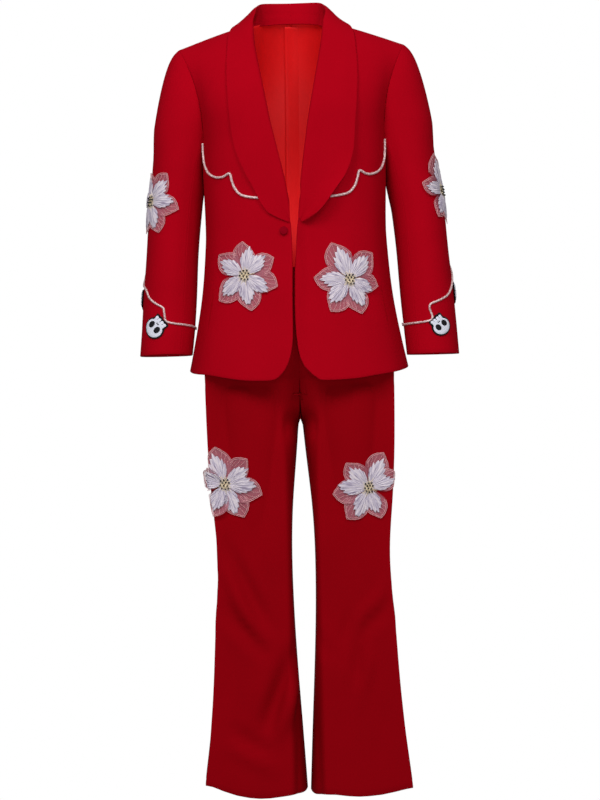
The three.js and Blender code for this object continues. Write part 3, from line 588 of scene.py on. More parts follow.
# how far back each front's edge lies, how wide the strip of cloth that goes with it is, both in mm,
# and the share of that at each z in metres
LAP, LAP_WIDTH = {"left": 7, "right": -3}, 38
LAP_SHARE = [(-0.70, 0.3), (-0.66, 1), (-0.44, 1), (-0.39, 0)]


def move_fold(mesh, table, side):
    """Draws the cloth at the fold along x, and less of it further out and further back."""
    places = points_of(mesh)
    from_fold = side * (places[:, 0] / MM - table_at(table, places[:, 2] / MM))
    share = np.clip(1 - from_fold / FOLD_REACH, 0, 1) ** 2
    share *= np.clip(1 - places[:, 1] / (FOLD_BACK * MM), 0, 1)
    places[:, 0] += table_at(table, places[:, 2] / MM, 2) * MM * share
    set_points(mesh, places)


def true_edge(mesh, table):
    """Slides a front's open edge over the cloth on to a line, and returns the longest move in mm."""
    places, normals = points_of(mesh), normals_of(mesh)
    wanted = smooth_line(table, 1.0) * MM
    spots, moves = [], []
    for i in np.unique(open_edges(mesh)):
        gaps = wanted - places[i, [0, 2]]
        k = int(np.argmin((gaps**2).sum(1)))
        if 0 < k < len(wanted) - 1 and np.linalg.norm(gaps[k]) < EDGE_GAP * MM:
            slide = -(normals[i, 0] * gaps[k, 0] + normals[i, 2] * gaps[k, 1]) / normals[i, 1]
            spots.append(places[i])
            moves.append((gaps[k, 0], slide, gaps[k, 1]))
    drag(mesh, spots, moves, EDGE_REACH * MM)
    return float(np.abs(moves).max()) / MM


for side_name, side in SIDES:
    for kind in ("front_", "collar_"):
        move_fold(skins[kind + side_name].data, FOLD[side_name], side)
    mesh = skins["front_" + side_name].data
    moved = true_edge(mesh, FRONT_EDGE[side_name])
    places = points_of(mesh)
    into = np.clip(1 - side * places[:, 0] / (LAP_WIDTH * MM), 0, 1) ** 2
    places[:, 1] += LAP[side_name] * MM * into * table_at(LAP_SHARE, places[:, 2])
    set_points(mesh, places)
    print("front", side_name, "edge moved up to", round(moved, 1), "mm")

# %% [markdown]
# ## Trueing the sleeves
# The sleeves hang a little nearer to the body than the frame has them, so a table moves each one
# sideways by height. The cuff's lower end is turned a little, until it looks level from the front.

# %% Sleeves and cuffs
# z, and how far the sleeve is moved along x, in mm
SLEEVE_IN = {
    "right": [(-645, 2.5), (-600, 4), (-345, 4.5), (-310, 6.5), (-255, 5.5), (-205, 0)],
    "left": [(-370, 0), (-335, -3), (-300, -6), (-250, -6), (-200, 0)],
}
# where the cuff's turn begins and over what height, its slope, its y axis and its drop, in metres
CUFF_TOP, CUFF_FADE, CUFF_SLOPE, CUFF_AXIS, CUFF_DROP = -0.60, 0.05, 0.12, -0.032, 0.006
for side_name, _ in SIDES:
    for kind in ("sleeve_top_", "sleeve_under_"):
        mesh = skins[kind + side_name].data
        places = points_of(mesh)
        places[:, 0] += table_at(SLEEVE_IN[side_name], places[:, 2] / MM) * MM
        share = np.clip((CUFF_TOP - places[:, 2]) / CUFF_FADE, 0, 1)
        places[:, 2] += share * (CUFF_SLOPE * (places[:, 1] - CUFF_AXIS) - CUFF_DROP)
        set_points(mesh, places)
print("cuffs levelled")

# %% [markdown]
# ## The trousers' fork
# Four panels meet at the fork. The cloth there is first smoothed, and each leg's inner edge is drawn
# to the middle. The front bridges the fork: it stays forward in the middle, and a fine groove marks
# where the two legs part. Pressed cloth is flat across the front of a leg and only turns near its
# inner seam, so the inner half of each leg's front is brought forward too.

# %% Fork
# z in metres, and how far forward (-y, in mm) the trousers' front stays at the middle there
FORK_FILL = [(-0.790, 0), (-0.778, -22), (-0.768, -46), (-0.757, -62), (-0.745, -71), (-0.73, -76),
             (-0.715, -79), (-0.70, -82), (-0.69, 0)]
# y of the front beside the fork, how far out that is, and the groove's depth and width, all in mm
FORK_FRONT, FORK_WIDE, GROOVE_DEEP, GROOVE_WIDE = -84, 40, 1.6, 2.5
# z in metres, and the share there of how far an inner edge is drawn to the middle, in mm
DRAWN, DRAWN_SHARE = 1.6, [(-0.790, 0), (-0.768, 1), (-0.730, 1), (-0.715, 0)]
# the same for the front alone, which closes the last gap
SQUEEZE, SQUEEZE_SHARE = 2.6, [(-0.775, 0), (-0.755, 1), (-0.735, 1), (-0.72, 0)]


def rub_smooth(skin):
    """Smooths a skin within 10 cm of the fork, but not its open edges."""
    only(skin)
    bpy.ops.object.mode_set(mode="EDIT")
    bpy.ops.mesh.select_mode(type="VERT")
    bpy.ops.mesh.select_all(action="DESELECT")
    for vertex in bmesh.from_edit_mesh(skin.data).verts:
        x, _, z = vertex.co
        near = abs(x) < 0.10 and -0.80 < z < -0.66
        vertex.select_set(near and not vertex.is_boundary)
    bpy.ops.mesh.vertices_smooth(factor=0.5, repeat=40)
    bpy.ops.object.mode_set(mode="OBJECT")


def fill_fork(places, side):
    """Keeps a leg's front forward at the fork, and draws its inner edge to the middle."""
    far = np.abs(places[:, 0]) / MM
    middle = table_at(FORK_FILL, places[:, 2]) * MM
    wanted = middle + (FORK_FRONT * MM - middle) * ease(np.clip(far / FORK_WIDE, 0, 1))
    wanted += GROOVE_DEEP * MM * np.exp(-((far / GROOVE_WIDE) ** 2))
    # the cloth goes along fully from 20 mm in front of the inner seam, and not at all from 6 mm
    loose = np.clip((-places[:, 1] / MM - 6) / 14, 0, 1)
    places[:, 1] += (np.minimum(places[:, 1], wanted) - places[:, 1]) * loose
    # within 12 mm of the middle the cloth is drawn in, but not over the middle
    squeeze = SQUEEZE * np.clip(1 - far / 12, 0, 1) * table_at(SQUEEZE_SHARE, places[:, 2])
    places[:, 0] = side * MM * np.maximum(far - squeeze, np.minimum(far, 0.15))


print("the fork is filled from", FORK_FILL[0][0], "to", FORK_FILL[-1][0], "m")

# %% The inner half of a leg's front
# z of the rows that are measured, in metres
LEG_ROWS = np.arange(-1.52, -0.75, 0.02)
# how far from the inner edge the front is measured, and where the cloth goes along least and fully,
# in metres
FLAT_FROM, FLAT_TO, LEAST, FULLY = 0.038, 0.052, 0.054, 0.032
# the cloth goes along below this z, fading in over this height, in metres
LEG_TOP, LEG_FADE = -0.77, 0.05
# how square the turn to the inner seam is: 1 leaves it round
SQUARE_TURN = 1.9


def square_off(places):
    """Brings the inner half of a leg's front forward, to lie as flat as pressed cloth does."""
    far = np.abs(places[:, 0])
    rows = []
    for z in LEG_ROWS:
        here = np.abs(places[:, 2] - z) < 0.014
        if here.any():
            edge = far[here].min()
            beside = here & (far > edge + FLAT_FROM) & (far < edge + FLAT_TO)
            rows.append((z, edge, places[beside, 1].mean()))
    edge, front = table_at(rows, places[:, 2]), table_at(rows, places[:, 2], 2)
    share = np.clip((LEAST - far + edge) / (LEAST - FULLY), 0, 1)
    share *= np.clip((LEG_TOP - places[:, 2]) / LEG_FADE, 0, 1)
    back = np.clip(1 - places[:, 1] / front, 0, 1)
    forward = np.minimum(front * (1 - back**SQUARE_TURN) - places[:, 1], 0)
    places[:, 1] += forward * ease(share) * (back < 1)


for side_name, side in SIDES:
    for kind in ("trouser_front_", "trouser_back_"):
        skin = skins[kind + side_name]
        rub_smooth(skin)
        places = points_of(skin.data)
        near = np.clip(1 - side * places[:, 0] / 0.02, 0, 1)
        places[:, 0] -= side * DRAWN * MM * near * table_at(DRAWN_SHARE, places[:, 2])
        if kind == "trouser_front_":
            fill_fork(places, side)
            square_off(places)
        set_points(skin.data, places)
    print("trousers", side_name, "shaped at the fork")

# %% [markdown]
# ## The trousers' hems
# A flared leg's hem isn't level. It rises to the outer seam and a little to the inner one, and hangs
# lowest in the middle of the leg.

# %% Hems
# x, and how high the hem rises there, in mm
HEM_RISE = {
    "right": [(-200, 30), (-185, 26), (-165, 17), (-140, 8), (-115, 2.5), (-95, 0.5), (-75, 1),
              (-50, 4), (-30, 7), (0, 7)],
    "left": [(0, 3), (12, 3), (30, 6), (50, 5), (75, 1.5), (95, 0), (115, 0.5), (140, 3), (165, 8),
             (185, 13), (200, 16)],
}
# the rise fades in down the leg from this z, over this height, in metres
HEM_TOP, HEM_FADE = -1.40, 0.1
for side_name, _ in SIDES:
    for kind in ("trouser_front_", "trouser_back_"):
        mesh = skins[kind + side_name].data
        places = points_of(mesh)
        share = np.clip((HEM_TOP - places[:, 2]) / HEM_FADE, 0, 1)
        places[:, 2] += share * table_at(HEM_RISE[side_name], places[:, 0] / MM) * MM
        set_points(mesh, places)
print("hems shaped")

# %% [markdown]
# ## Shaping the lapels
# The shawl's edge is cut as one long belly, widest above the button. The wearer's left lapel springs
# off the front, so it throws a shadow; the right one lies flat. A point's share of the way from the
# fold to the edge says how far it moves. At the lapels' lower tips the fold and the front's edge run
# together, so there a limit keeps both from reaching over the middle.

# %% Lapels
# z and x in mm, on the wearer's left; the right side is its mirror image
FOLD_LINE = [(-400, 13), (-335, 19), (-294, 26), (-252, 32), (-204, 41), (-149, 50), (-98, 60),
             (-56, 66)]
LAPEL_EDGE = [(-400, 12), (-394, 21), (-383, 36), (-366, 50.5), (-322, 75.5), (-278, 93),
              (-233, 106.5), (-180, 117.5), (-127, 123), (-88, 123.5), (-56, 122.5)]
# z, how much wider the lapel gets and how far it springs off, in mm
LAPEL_MOVES = {
    "left": [(-400, 0, 2), (-394, 2, 10), (-385, 5, 15), (-358, 8, 18), (-340, 10, 16),
             (-312, 16, 14), (-290, 17, 12), (-261, 15, 10), (-233, 9, 8), (-200, 4, 5), (-150, 1, 2),
             (-60, 0, 0)],
    "right": [(-400, 0, 0.5), (-392, 8, 0.8), (-382, 13, 1), (-359, 12, 1.5), (-330, 9, 2),
              (-290, 11, 2), (-260, 12, 1.5), (-230, 10, 1.5), (-190, 5, 1), (-150, 2, 1),
              (-60, 0, 0)],
}
# z, and the x that the cloth doesn't reach past at the lapel's tip, in mm
TIP_LIMIT = {
    "left": [(-400, 4.2), (-378, 6), (-358, 8), (-330, 14)],
    "right": [(-400, -10.5), (-378, -11), (-358, -11), (-330, -16)],
}
# z in metres, and the limit's share there
TIP_SHARE = [(-0.405, 0), (-0.398, 1), (-0.35, 1), (-0.33, 0)]
# behind this y, in metres, the strip is the collar's stand, which stays
STAND = -0.02


def spring(mesh, front, moves, side):
    """Widens a lapel over the front below it, and lifts it off, more towards its edge."""
    places = points_of(mesh)
    for place in places:
        z = place[2] / MM
        fold, edge = table_at(FOLD_LINE, z), table_at(LAPEL_EDGE, z)
        share = min(1.0, max(0.0, (side * place[0] / MM - fold) / max(edge - fold, 1)))
        if place[1] > STAND or share == 0:
            continue
        wider = side * share * table_at(moves, z)
        here, there = front.seen(place[0] / MM, z), front.seen(place[0] / MM + wider, z)
        if here and there:
            place[1] += there.y - here.y
        place[0] += wider * MM
        place[1] -= share**2 * table_at(moves, z, 2) * MM
    set_points(mesh, places)


for side_name, side in SIDES:
    front = Cloth("front_" + side_name)
    spring(skins["collar_" + side_name].data, front, LAPEL_MOVES[side_name], side)
    for kind in ("front_", "collar_"):
        mesh = skins[kind + side_name].data
        places = points_of(mesh)
        limit = table_at(TIP_LIMIT[side_name], places[:, 2] / MM) * MM
        past = np.maximum(side * (limit - places[:, 0]), 0)
        places[:, 0] += side * past * table_at(TIP_SHARE, places[:, 2])
        set_points(mesh, places)
print("lapels shaped")

# %% [markdown]
# ## Creases
# Pressed worsted over an empty form is nearly smooth. The knees and shins break the most: long
# slanting troughs with a ridge beside them, where the flare starts. The jacket has shallow ones, at
# the left lapel's tip, below the button, at the small of the back and at the elbows, and the collar
# rolls in two. Each is a line given as x and z in a view from the front or the back, with a depth
# and a width. A negative depth is a ridge. Along its line a crease swells from nothing and dies
# away again.

# %% Where the creases lie
# cloth, seen from, line of (x, z), depth, width; all in mm
CREASES = [
    ("right leg", "front",
     [(-153, -1000), (-136, -1045), (-116, -1090), (-97, -1130), (-76, -1178)], 5.9, 13),
    ("right leg", "front",
     [(-150, -1046), (-132, -1100), (-112, -1146), (-88, -1186), (-58, -1218)], -5.9, 14),
    ("right leg", "front",
     [(-166, -1122), (-140, -1156), (-112, -1188), (-84, -1216), (-60, -1226)], 5.5, 13),
    ("right leg", "front",
     [(-18, -1196), (-32, -1240), (-50, -1288), (-70, -1338), (-86, -1384)], 10.5, 16),
    ("right leg", "front", [(-14, -1262), (-26, -1300), (-42, -1344), (-60, -1392)], -6.8, 14),
    ("right leg", "front", [(-156, -1362), (-124, -1390), (-92, -1408), (-66, -1414)], 5.5, 13),
    ("right leg", "front", [(-150, -1392), (-114, -1418), (-76, -1440), (-44, -1448)], -3.2, 14),
    ("left leg", "front", [(158, -1088), (138, -1126), (112, -1154), (94, -1188)], -3.6, 11),
    ("left leg", "front", [(170, -1128), (146, -1156), (120, -1174), (104, -1202)], 4.3, 11),
    ("left leg", "front", [(88, -1150), (78, -1180), (72, -1206)], 2.3, 9),
    ("left leg", "front", [(104, -1204), (99, -1240), (98, -1290)], 3.4, 12),
    ("left leg", "front", [(122, -1216), (117, -1256), (104, -1306), (92, -1340)], -2.5, 11),
    ("left leg", "front", [(24, -1180), (34, -1214), (52, -1242)], 2.7, 11),
    ("right leg", "back", [(-30, -1010), (-62, -1050), (-96, -1082), (-128, -1100)], 4.6, 13),
    ("right leg", "back", [(-26, -1050), (-60, -1092), (-98, -1126), (-136, -1142)], -3.4, 14),
    ("right leg", "back", [(-158, -1180), (-120, -1218), (-84, -1262), (-62, -1308)], 3.8, 14),
    ("left leg", "back", [(160, -1020), (128, -1056), (92, -1082), (54, -1096)], 4.2, 13),
    ("left leg", "back", [(162, -1068), (124, -1108), (84, -1132), (44, -1142)], -3.2, 14),
    ("left leg", "back", [(34, -1196), (62, -1238), (98, -1276), (128, -1330)], 3.4, 14),
    ("right leg", "back", [(-24, -806), (-70, -836), (-120, -850)], 3.8, 14),
    ("left leg", "back", [(26, -802), (66, -840), (112, -858)], 3.4, 14),
    ("collar", "front", [(-60, 26), (-22, 31), (20, 27), (58, 18)], 1.7, 5),
    ("collar", "front", [(-56, 17), (-14, 22), (26, 18), (56, 10)], -1.5, 4),
    ("jacket", "front", [(16, -396), (36, -384), (56, -366), (72, -344), (82, -316)], 3.0, 9),
    ("jacket", "front", [(10, -410), (8, -440), (6, -490), (4, -540)], 1.6, 9),
    ("jacket", "back", [(-150, -300), (-96, -318), (-40, -322)], 1.9, 16),
    ("jacket", "back", [(152, -286), (100, -312), (48, -324)], 1.7, 16),
    ("jacket", "back", [(-70, -356), (-14, -366), (46, -360)], 0.8, 15),
    ("right sleeve", "back", [(-292, -420), (-262, -444), (-222, -452)], 3, 12),
    ("right sleeve", "back", [(-296, -462), (-264, -480), (-226, -484)], 2.3, 12),
    ("left sleeve", "back", [(294, -410), (262, -440), (224, -446)], 2.8, 12),
    ("left sleeve", "back", [(298, -456), (266, -476), (228, -476)], 2.3, 12),
]
CLOTHS = {
    "jacket": ["front_left", "front_right", "back_left", "back_right"],
    "collar": ["collar_left", "collar_right"],
    "left sleeve": ["sleeve_top_left", "sleeve_under_left"],
    "right sleeve": ["sleeve_top_right", "sleeve_under_right"],
    "left leg": ["trouser_front_left", "trouser_back_left"],
    "right leg": ["trouser_front_right", "trouser_back_right"],
}
print(len(CREASES), "creases placed")


# %% Pressing the creases in
def press_crease(node, line, depth, wide):
    """Pushes a skin in along a line of places, less towards the line's ends. Beside a trough the
    cloth rises by a third of its depth."""
    mesh = skins[node].data
    places, ways = points_of(mesh), normals_of(mesh)
    far = np.full(len(places), np.inf)
    share = np.zeros(len(places))
    for k, (a, b) in enumerate(zip(line, line[1:])):
        t = np.clip((places - a) @ (b - a) / ((b - a) @ (b - a)), 0, 1)
        away = np.linalg.norm(places - a - t[:, None] * (b - a), axis=1)
        closer = away < far
        far[closer] = away[closer]
        share[closer] = (k + t[closer]) / (len(line) - 1)
    swell = np.sin(math.pi * np.clip(share, 0, 1)) ** 0.8
    beside = far / (wide * MM)
    profile = np.exp(-(beside**2)) - 0.35 * np.exp(-((beside - 1.9) ** 2))
    set_points(mesh, places - ways * (depth * MM * swell * profile)[:, None])


whole = {name: Cloth(*nodes) for name, nodes in CLOTHS.items()}
for cloth, view, line, depth, wide in CREASES:
    spots = smooth_line(line, 12)
    found = [whole[cloth].seen(x, z, back=view == "back") for x, z in spots]
    places = np.array([place for place in found if place is not None])
    for node in CLOTHS[cloth]:
        press_crease(node, places, depth, wide)
print("creases pressed into", len(whole), "groups of panels")

# %% [markdown]
# Even a pressed cloth isn't a perfect surface. A slow noise of well under a millimetre, measured at
# each point's own place, gives the light something to play on, and agrees across every seam because
# both sides of a seam read it at the same place.

# %% Slow unevenness of the cloth
# how high the waves are in mm, and how many the noise has in a metre across; half as many upwards
UNEVEN = {"": (0.5, 11.0), "lining": (0.6, 16.0), "waistband": (0.2, 11.0)}
for node, skin in skins.items():
    height, fine = UNEVEN.get(kind_of(node), UNEVEN[""])
    places, ways = points_of(skin.data), normals_of(skin.data)
    stretch = np.array([fine, fine, fine * 0.5])
    rise = np.array([noise.noise(Vector(place * stretch)) for place in places])
    set_points(skin.data, places + ways * (height * MM * rise)[:, None])
print("all cloth made slightly uneven")

# %% [markdown]
# ## Turning the edges in
# A tailor folds every edge in: at a seam the allowances are pressed open, and at a hem the cloth
# turns up inside. So each skin's edge is rolled over in a small round and runs back inside a finger's
# width. Two such edges side by side leave the fine soft groove that a seam has. The wall's thickness
# comes last, from a Solidify modifier that works inwards.

# %% Turned edges and thickness
# the thickness of each wall in mm; the collar is two cloths
WALLS = {"collar": 2.2, "lining": 0.8, "": 1.0}
# how far back from the edge, and how deep below the surface, each line of the turn lies, in mm; the
# first line is the old edge itself, drawn back
TURN = [(0.9, 0), (0.1, 0.4), (-0.4, 1.2), (0.1, 2.0), (1.0, 2.6), (6, 2.7), (12, 2.7)]


def back_from_edge(shape):
    """For each vertex on the open edge, the way back into the cloth, longer at corners."""
    ways = {}
    for edge in shape.edges:
        if edge.is_boundary:
            face = edge.link_faces[0]
            way = face.normal.cross(edge.verts[1].co - edge.verts[0].co).normalized()
            if way.dot(face.calc_center_median() - edge.verts[0].co) < 0:
                way.negate()
            for vertex in edge.verts:
                ways.setdefault(vertex, []).append(way)
    for vertex, (first, second) in ways.items():
        middle = (first + second).normalized()
        ways[vertex] = middle / max(0.6, middle.dot(first))
    return ways


def turn_in(mesh):
    """Rolls the open edge over along the lines of the turn."""
    shape = bmesh.new()
    shape.from_mesh(mesh)
    ways = back_from_edge(shape)
    start = {v: v.co.copy() for v in ways}
    out = {v: v.normal.copy() for v in ways}
    rim = [(e.link_loops[0].vert, e.link_loops[0].link_loop_next.vert)
           for e in shape.edges if e.is_boundary]
    last = {v: v for v in ways}
    for k, (back, deep) in enumerate(TURN):
        spot = {v: start[v] + ways[v] * back * MM - out[v] * deep * MM for v in ways}
        if k == 0:
            for v in ways:
                v.co = spot[v]
            continue
        line = {v: shape.verts.new(spot[v]) for v in ways}
        for a, b in rim:
            shape.faces.new((last[b], last[a], line[a], line[b]))
        last = line
    shape.normal_update()
    shape.to_mesh(mesh)
    shape.free()
    mesh.update()


# what the cords and appliques are laid on later: the cloth before its edges turn in
under = {name: Cloth(*nodes) for name, nodes in CLOTHS.items()}
lining_under = Cloth("lining_left", "lining_right")
for node, skin in skins.items():
    kind = kind_of(node)
    if kind not in ("collar", "lining"):
        turn_in(skin.data)
    apply_modifier(skin, "SOLIDIFY", thickness=WALLS.get(kind, WALLS[""]) * MM, offset=-1)
    if kind == "collar":
        apply_modifier(skin, "BEVEL", width=0.8 * MM, segments=3, limit_method="ANGLE",
                       angle_limit=math.radians(50))
print("edges turned in, walls given their thickness")

# %% [markdown]
# ## The cloth of each panel
# A tailor cuts flat cloth. Each panel is given its cloth: the trousers and their waistband their own
# wool, the lining satin, and the rest the jacket's suiting. Each panel's solid in the frame is
# hidden.

# %% The cloth of each panel
# the slot and material of each kind that isn't of the jacket's cloth
WEARS = dict.fromkeys(("trouser_front", "trouser_back", "waistband"), ("trouser_cloth", TROUSER_WOOL))
WEARS["lining"] = ("lining_satin", LINING_SATIN)
for node, skin in skins.items():
    kind = kind_of(node)
    slot, material = WEARS.get(kind, ("suiting", SUITING))
    dress(skin, material, slot, node)

# %% [markdown]
# ## The pleat in the lining
# A jacket lining has a pleat down the centre back, so that it doesn't strain. Seen through the open
# neck it is a fold of satin lying to one side, with a shadow along its free edge. It is one strip,
# thin at its sewn edge and standing up at the other.

# %% Lining pleat
# x and z of its free edge in mm
PLEAT_LINE = [(-11, 4), (-12, -60), (-14, -180), (-16, -300), (-18, -420), (-19, -520)]
# how far across the strip, and how far off the lining, in mm
PLEAT_SECTION = [(3, 0.3), (-0.6, 0.8), (-2.2, 2.8), (-1.6, 5.0), (1.2, 5.8), (6, 4.8), (14, 2.8),
                 (22, 1), (27, -0.6)]
pleat_points, pleat_faces = [], []
for x, z in smooth_line(PLEAT_LINE, 8):
    row = [lining_under.seen(x + across, z) for across, _ in PLEAT_SECTION]
    if None not in row:
        pleat_points += [place + Vector((0, -(WALLS["lining"] + stand) * MM, 0))
                         for place, (_, stand) in zip(row, PLEAT_SECTION)]
lanes = len(PLEAT_SECTION)
for i in range(len(pleat_points) // lanes - 1):
    for j in range(lanes - 1):
        at = i * lanes + j
        pleat_faces.append((at, at + lanes, at + lanes + 1, at + 1))
pleat = mesh_object("lining_pleat", pleat_points, pleat_faces)
apply_modifier(pleat, "SUBSURF", levels=1, render_levels=1)
apply_modifier(pleat, "SOLIDIFY", thickness=0.4 * MM, offset=-1)
dress(pleat, LINING_SATIN, "lining_satin")
print("pleat of", len(pleat.data.polygons), "faces")

# %% [markdown]
# ## Cords
# The trims are a round cord of 4 to 5 mm, braided of thin silver metallic yarn over a pink core. The
# braid is so fine that the cord looks nearly smooth, so a shallow three-strand twist is enough. It is
# sewn down along the points of the western yoke and of the cuff. A sweep makes it: rings of points
# along a smooth line, lobed where there are strands, and each ring's lobes turned a little further.


# %% Sweep along a line
def sweep(line, ways, radius, sides, strands=0, pitch=9 * MM, relief=0.12):
    """A tube along a line of places, round, or lobed where it is twisted of strands."""
    line, ways = np.array(line, float), np.array(ways, float)
    tangent = np.gradient(line, axis=0)
    tangent /= np.linalg.norm(tangent, axis=1)[:, None]
    side = np.cross(tangent, ways)
    side /= np.linalg.norm(side, axis=1)[:, None]
    out = np.cross(side, tangent)
    along = np.concatenate([[0], np.cumsum(np.linalg.norm(np.diff(line, axis=0), axis=1))])
    turn = np.linspace(0, 2 * math.pi, sides, endpoint=False)
    reach = np.full((len(line), sides), radius)
    if strands:
        lobe = np.abs(np.sin(strands / 2 * (turn[None] + 2 * math.pi * along[:, None] / pitch)))
        reach *= 1 - relief + relief * lobe
    # the two ends are drawn in
    reach[[0, -1]] *= 0.35
    rings = (line[:, None] + reach[..., None] * (np.cos(turn)[None, :, None] * out[:, None]
             + np.sin(turn)[None, :, None] * side[:, None]))
    faces = [(i * sides + j, i * sides + (j + 1) % sides, (i + 1) * sides + (j + 1) % sides,
              (i + 1) * sides + j) for i in range(len(line) - 1) for j in range(sides)]
    last = (len(line) - 1) * sides
    faces += [tuple(range(sides))[::-1], tuple(range(last, last + sides))]
    return rings.reshape(-1, 3), faces


def joined(parts):
    """One list of points and faces from several."""
    points, faces, count = [], [], 0
    for part_points, part_faces in parts:
        points.append(np.asarray(part_points, float))
        faces += [tuple(i + count for i in face) for face in part_faces]
        count += len(part_points)
    return np.vstack(points), faces


short = sweep([(0, 0, 0), (0, 0, 1)], [(0, 1, 0)] * 2, radius=0.1, sides=8)
print("a tube of two rings has", len(short[1]), "faces")

# %% [markdown]
# ## The cord's finish
# Metallic yarn is a thin strip of metallised film wound round a thread. It glints in flecks, and
# between them the pink core shows through, so the colour runs from a dull pink to a pale silver pink.
# The flecks are drawn about 2 mm long.


# %% Cord material
def metallic_yarn():
    """Silver yarn over pink: a metallised thread with a satin polish and fine flecks."""
    material, tree, shader = new_material("metallic_yarn_silver_pink", roughness=0.42, metallic=0.2)
    place = add_node(tree, "TexCoord").outputs["Object"]
    flecks = add_node(tree, "TexNoise", {"Vector": place, "Scale": 420.0, "Detail": 2.0})
    colour = add_node(tree, "ValToRGB", {"Fac": flecks.outputs["Fac"]},
                      shades=((0.35, "A87880"), (0.62, "EED6D4")))
    bump = add_node(tree, "Bump", {"Height": flecks.outputs["Fac"], "Distance": 0.2 * MM,
                                   "Strength": 0.5})
    tree.links.new(colour.outputs["Color"], shader.inputs["Base Color"])
    tree.links.new(bump.outputs["Normal"], shader.inputs["Normal"])
    return material


SILVER_CORD = metallic_yarn()
print("cord material made")

# %% [markdown]
# ## The cords' routes
# The yoke's cord runs from the armhole down to the yoke's point and in under the lapel. The cuff's
# goes round the sleeve and rises to a point on its outer side. A sleeve is nearly an oval tube, so
# its route is given as degrees round it, and then drawn on to the cloth.

# %% Routes of the cords
# the two cords' radius, and how deep they sink into the cloth they are sewn to, in mm
YOKE_CORD, CUFF_CORD, SUNK = 2.4, 2.1, 0.9
# x and z in mm, from the armhole down to the point of the yoke and in under the lapel
YOKE_ROUTE = [(175.5, -236), (175, -256), (173, -276), (165.5, -296), (152, -307), (137, -308.5),
              (124, -303), (119.5, -317), (114, -332), (103, -344.5), (86, -350), (66, -352.5)]
# degrees round the sleeve from its outer side, and z in mm
CUFF_FRONT = {
    "right": [(-178, -593), (-130, -588), (-102, -584.5), (-91, -579), (-87.5, -567), (-84, -555),
              (-69, -547), (-49, -535), (-33, -518), (-14, -509), (6, -500)],
    "left": [(-178, -598), (-158, -597), (-118, -595), (-94, -592), (-87, -585), (-89.5, -575),
             (-91, -567), (-87, -559.5), (-69, -553), (-48, -544), (-33, -532), (-14, -512),
             (6, -490)],
}
CUFF_BACK = [(24, -476), (42, -494), (56, -516), (72, -533), (98, -547), (122, -556), (134, -566),
             (138, -581), (150, -591), (178, -595)]
# the sleeve's middle and half widths in mm: z, x, y, across, deep
SLEEVE_MIDDLE = [(-653, 261.5, -32, 51, 49), (-582, 256, -22, 52, 51), (-523, 252, -13, 52, 54),
                 (-464, 248, -5, 51, 57), (-405, 243.5, 0, 51.5, 59), (-330, 236.5, 2, 53, 61)]


def off_cloth(cloth, places, height):
    """Places moved to a height off the cloth, with the way out at each."""
    near = [cloth.nearest(Vector(place)) for place in places]
    ways = [cloth.out(place) for place in near]
    return [place + way * height for place, way in zip(near, ways)], ways


def sleeve_place(side, turn, z):
    """The place at some degrees round a sleeve, and at z in mm."""
    x, y, across, deep = (table_at(SLEEVE_MIDDLE, z, k) for k in (1, 2, 3, 4))
    angle = math.radians(turn)
    return side * (x + across * math.cos(angle)) * MM, (y + deep * math.sin(angle)) * MM, z * MM


print("left cuff's outer side:", [round(v, 3) for v in sleeve_place(1, 0, -600)])

# %% Yoke and cuff cords
for side_name, side in SIDES:
    yoke = [under["jacket"].seen(side * x, z) for x, z in smooth_line(YOKE_ROUTE, 1.3)]
    route = smooth_line(CUFF_FRONT[side_name] + CUFF_BACK, 1.3)
    cuff = [sleeve_place(side, turn, z) for turn, z in route]
    for name, places, cloth, radius in (
        ("yoke_cord", yoke, under["jacket"], YOKE_CORD),
        ("cuff_cord", cuff, under[f"{side_name} sleeve"], CUFF_CORD),
    ):
        line, ways = off_cloth(cloth, places, (radius - SUNK) * MM)
        tube = sweep(line, ways, radius * MM, sides=16, strands=3)
        cord = mesh_object(f"trim_{name}_{side_name}", *tube)
        dress(cord, SILVER_CORD, "silver_cord", f"{name}_{side_name}")
        print(cord.name, len(cord.data.polygons), "faces")

# %% [markdown]
# ## Laying a flat applique on rounded cloth
# An applique is cut and stitched flat, then sewn on a sleeve or a leg that is round. From its middle,
# spokes walk outwards over the cloth in short steps, each step turning to follow the surface. A flat
# design is then laid on by its distance and direction from the middle, so nothing is stretched.

# %% Laying on
# how many spokes there are, and how long and how many their steps are
SPOKES, STEP, STEPS = 72, 3 * MM, 27


def hub_of(node):
    """The place in the frame where most of a patch's triangles meet: its middle."""
    spots, counts = np.unique(np.round(points_of(frame["nodes"][node].data), 5), axis=0,
                              return_counts=True)
    return Vector(spots[counts.argmax()])


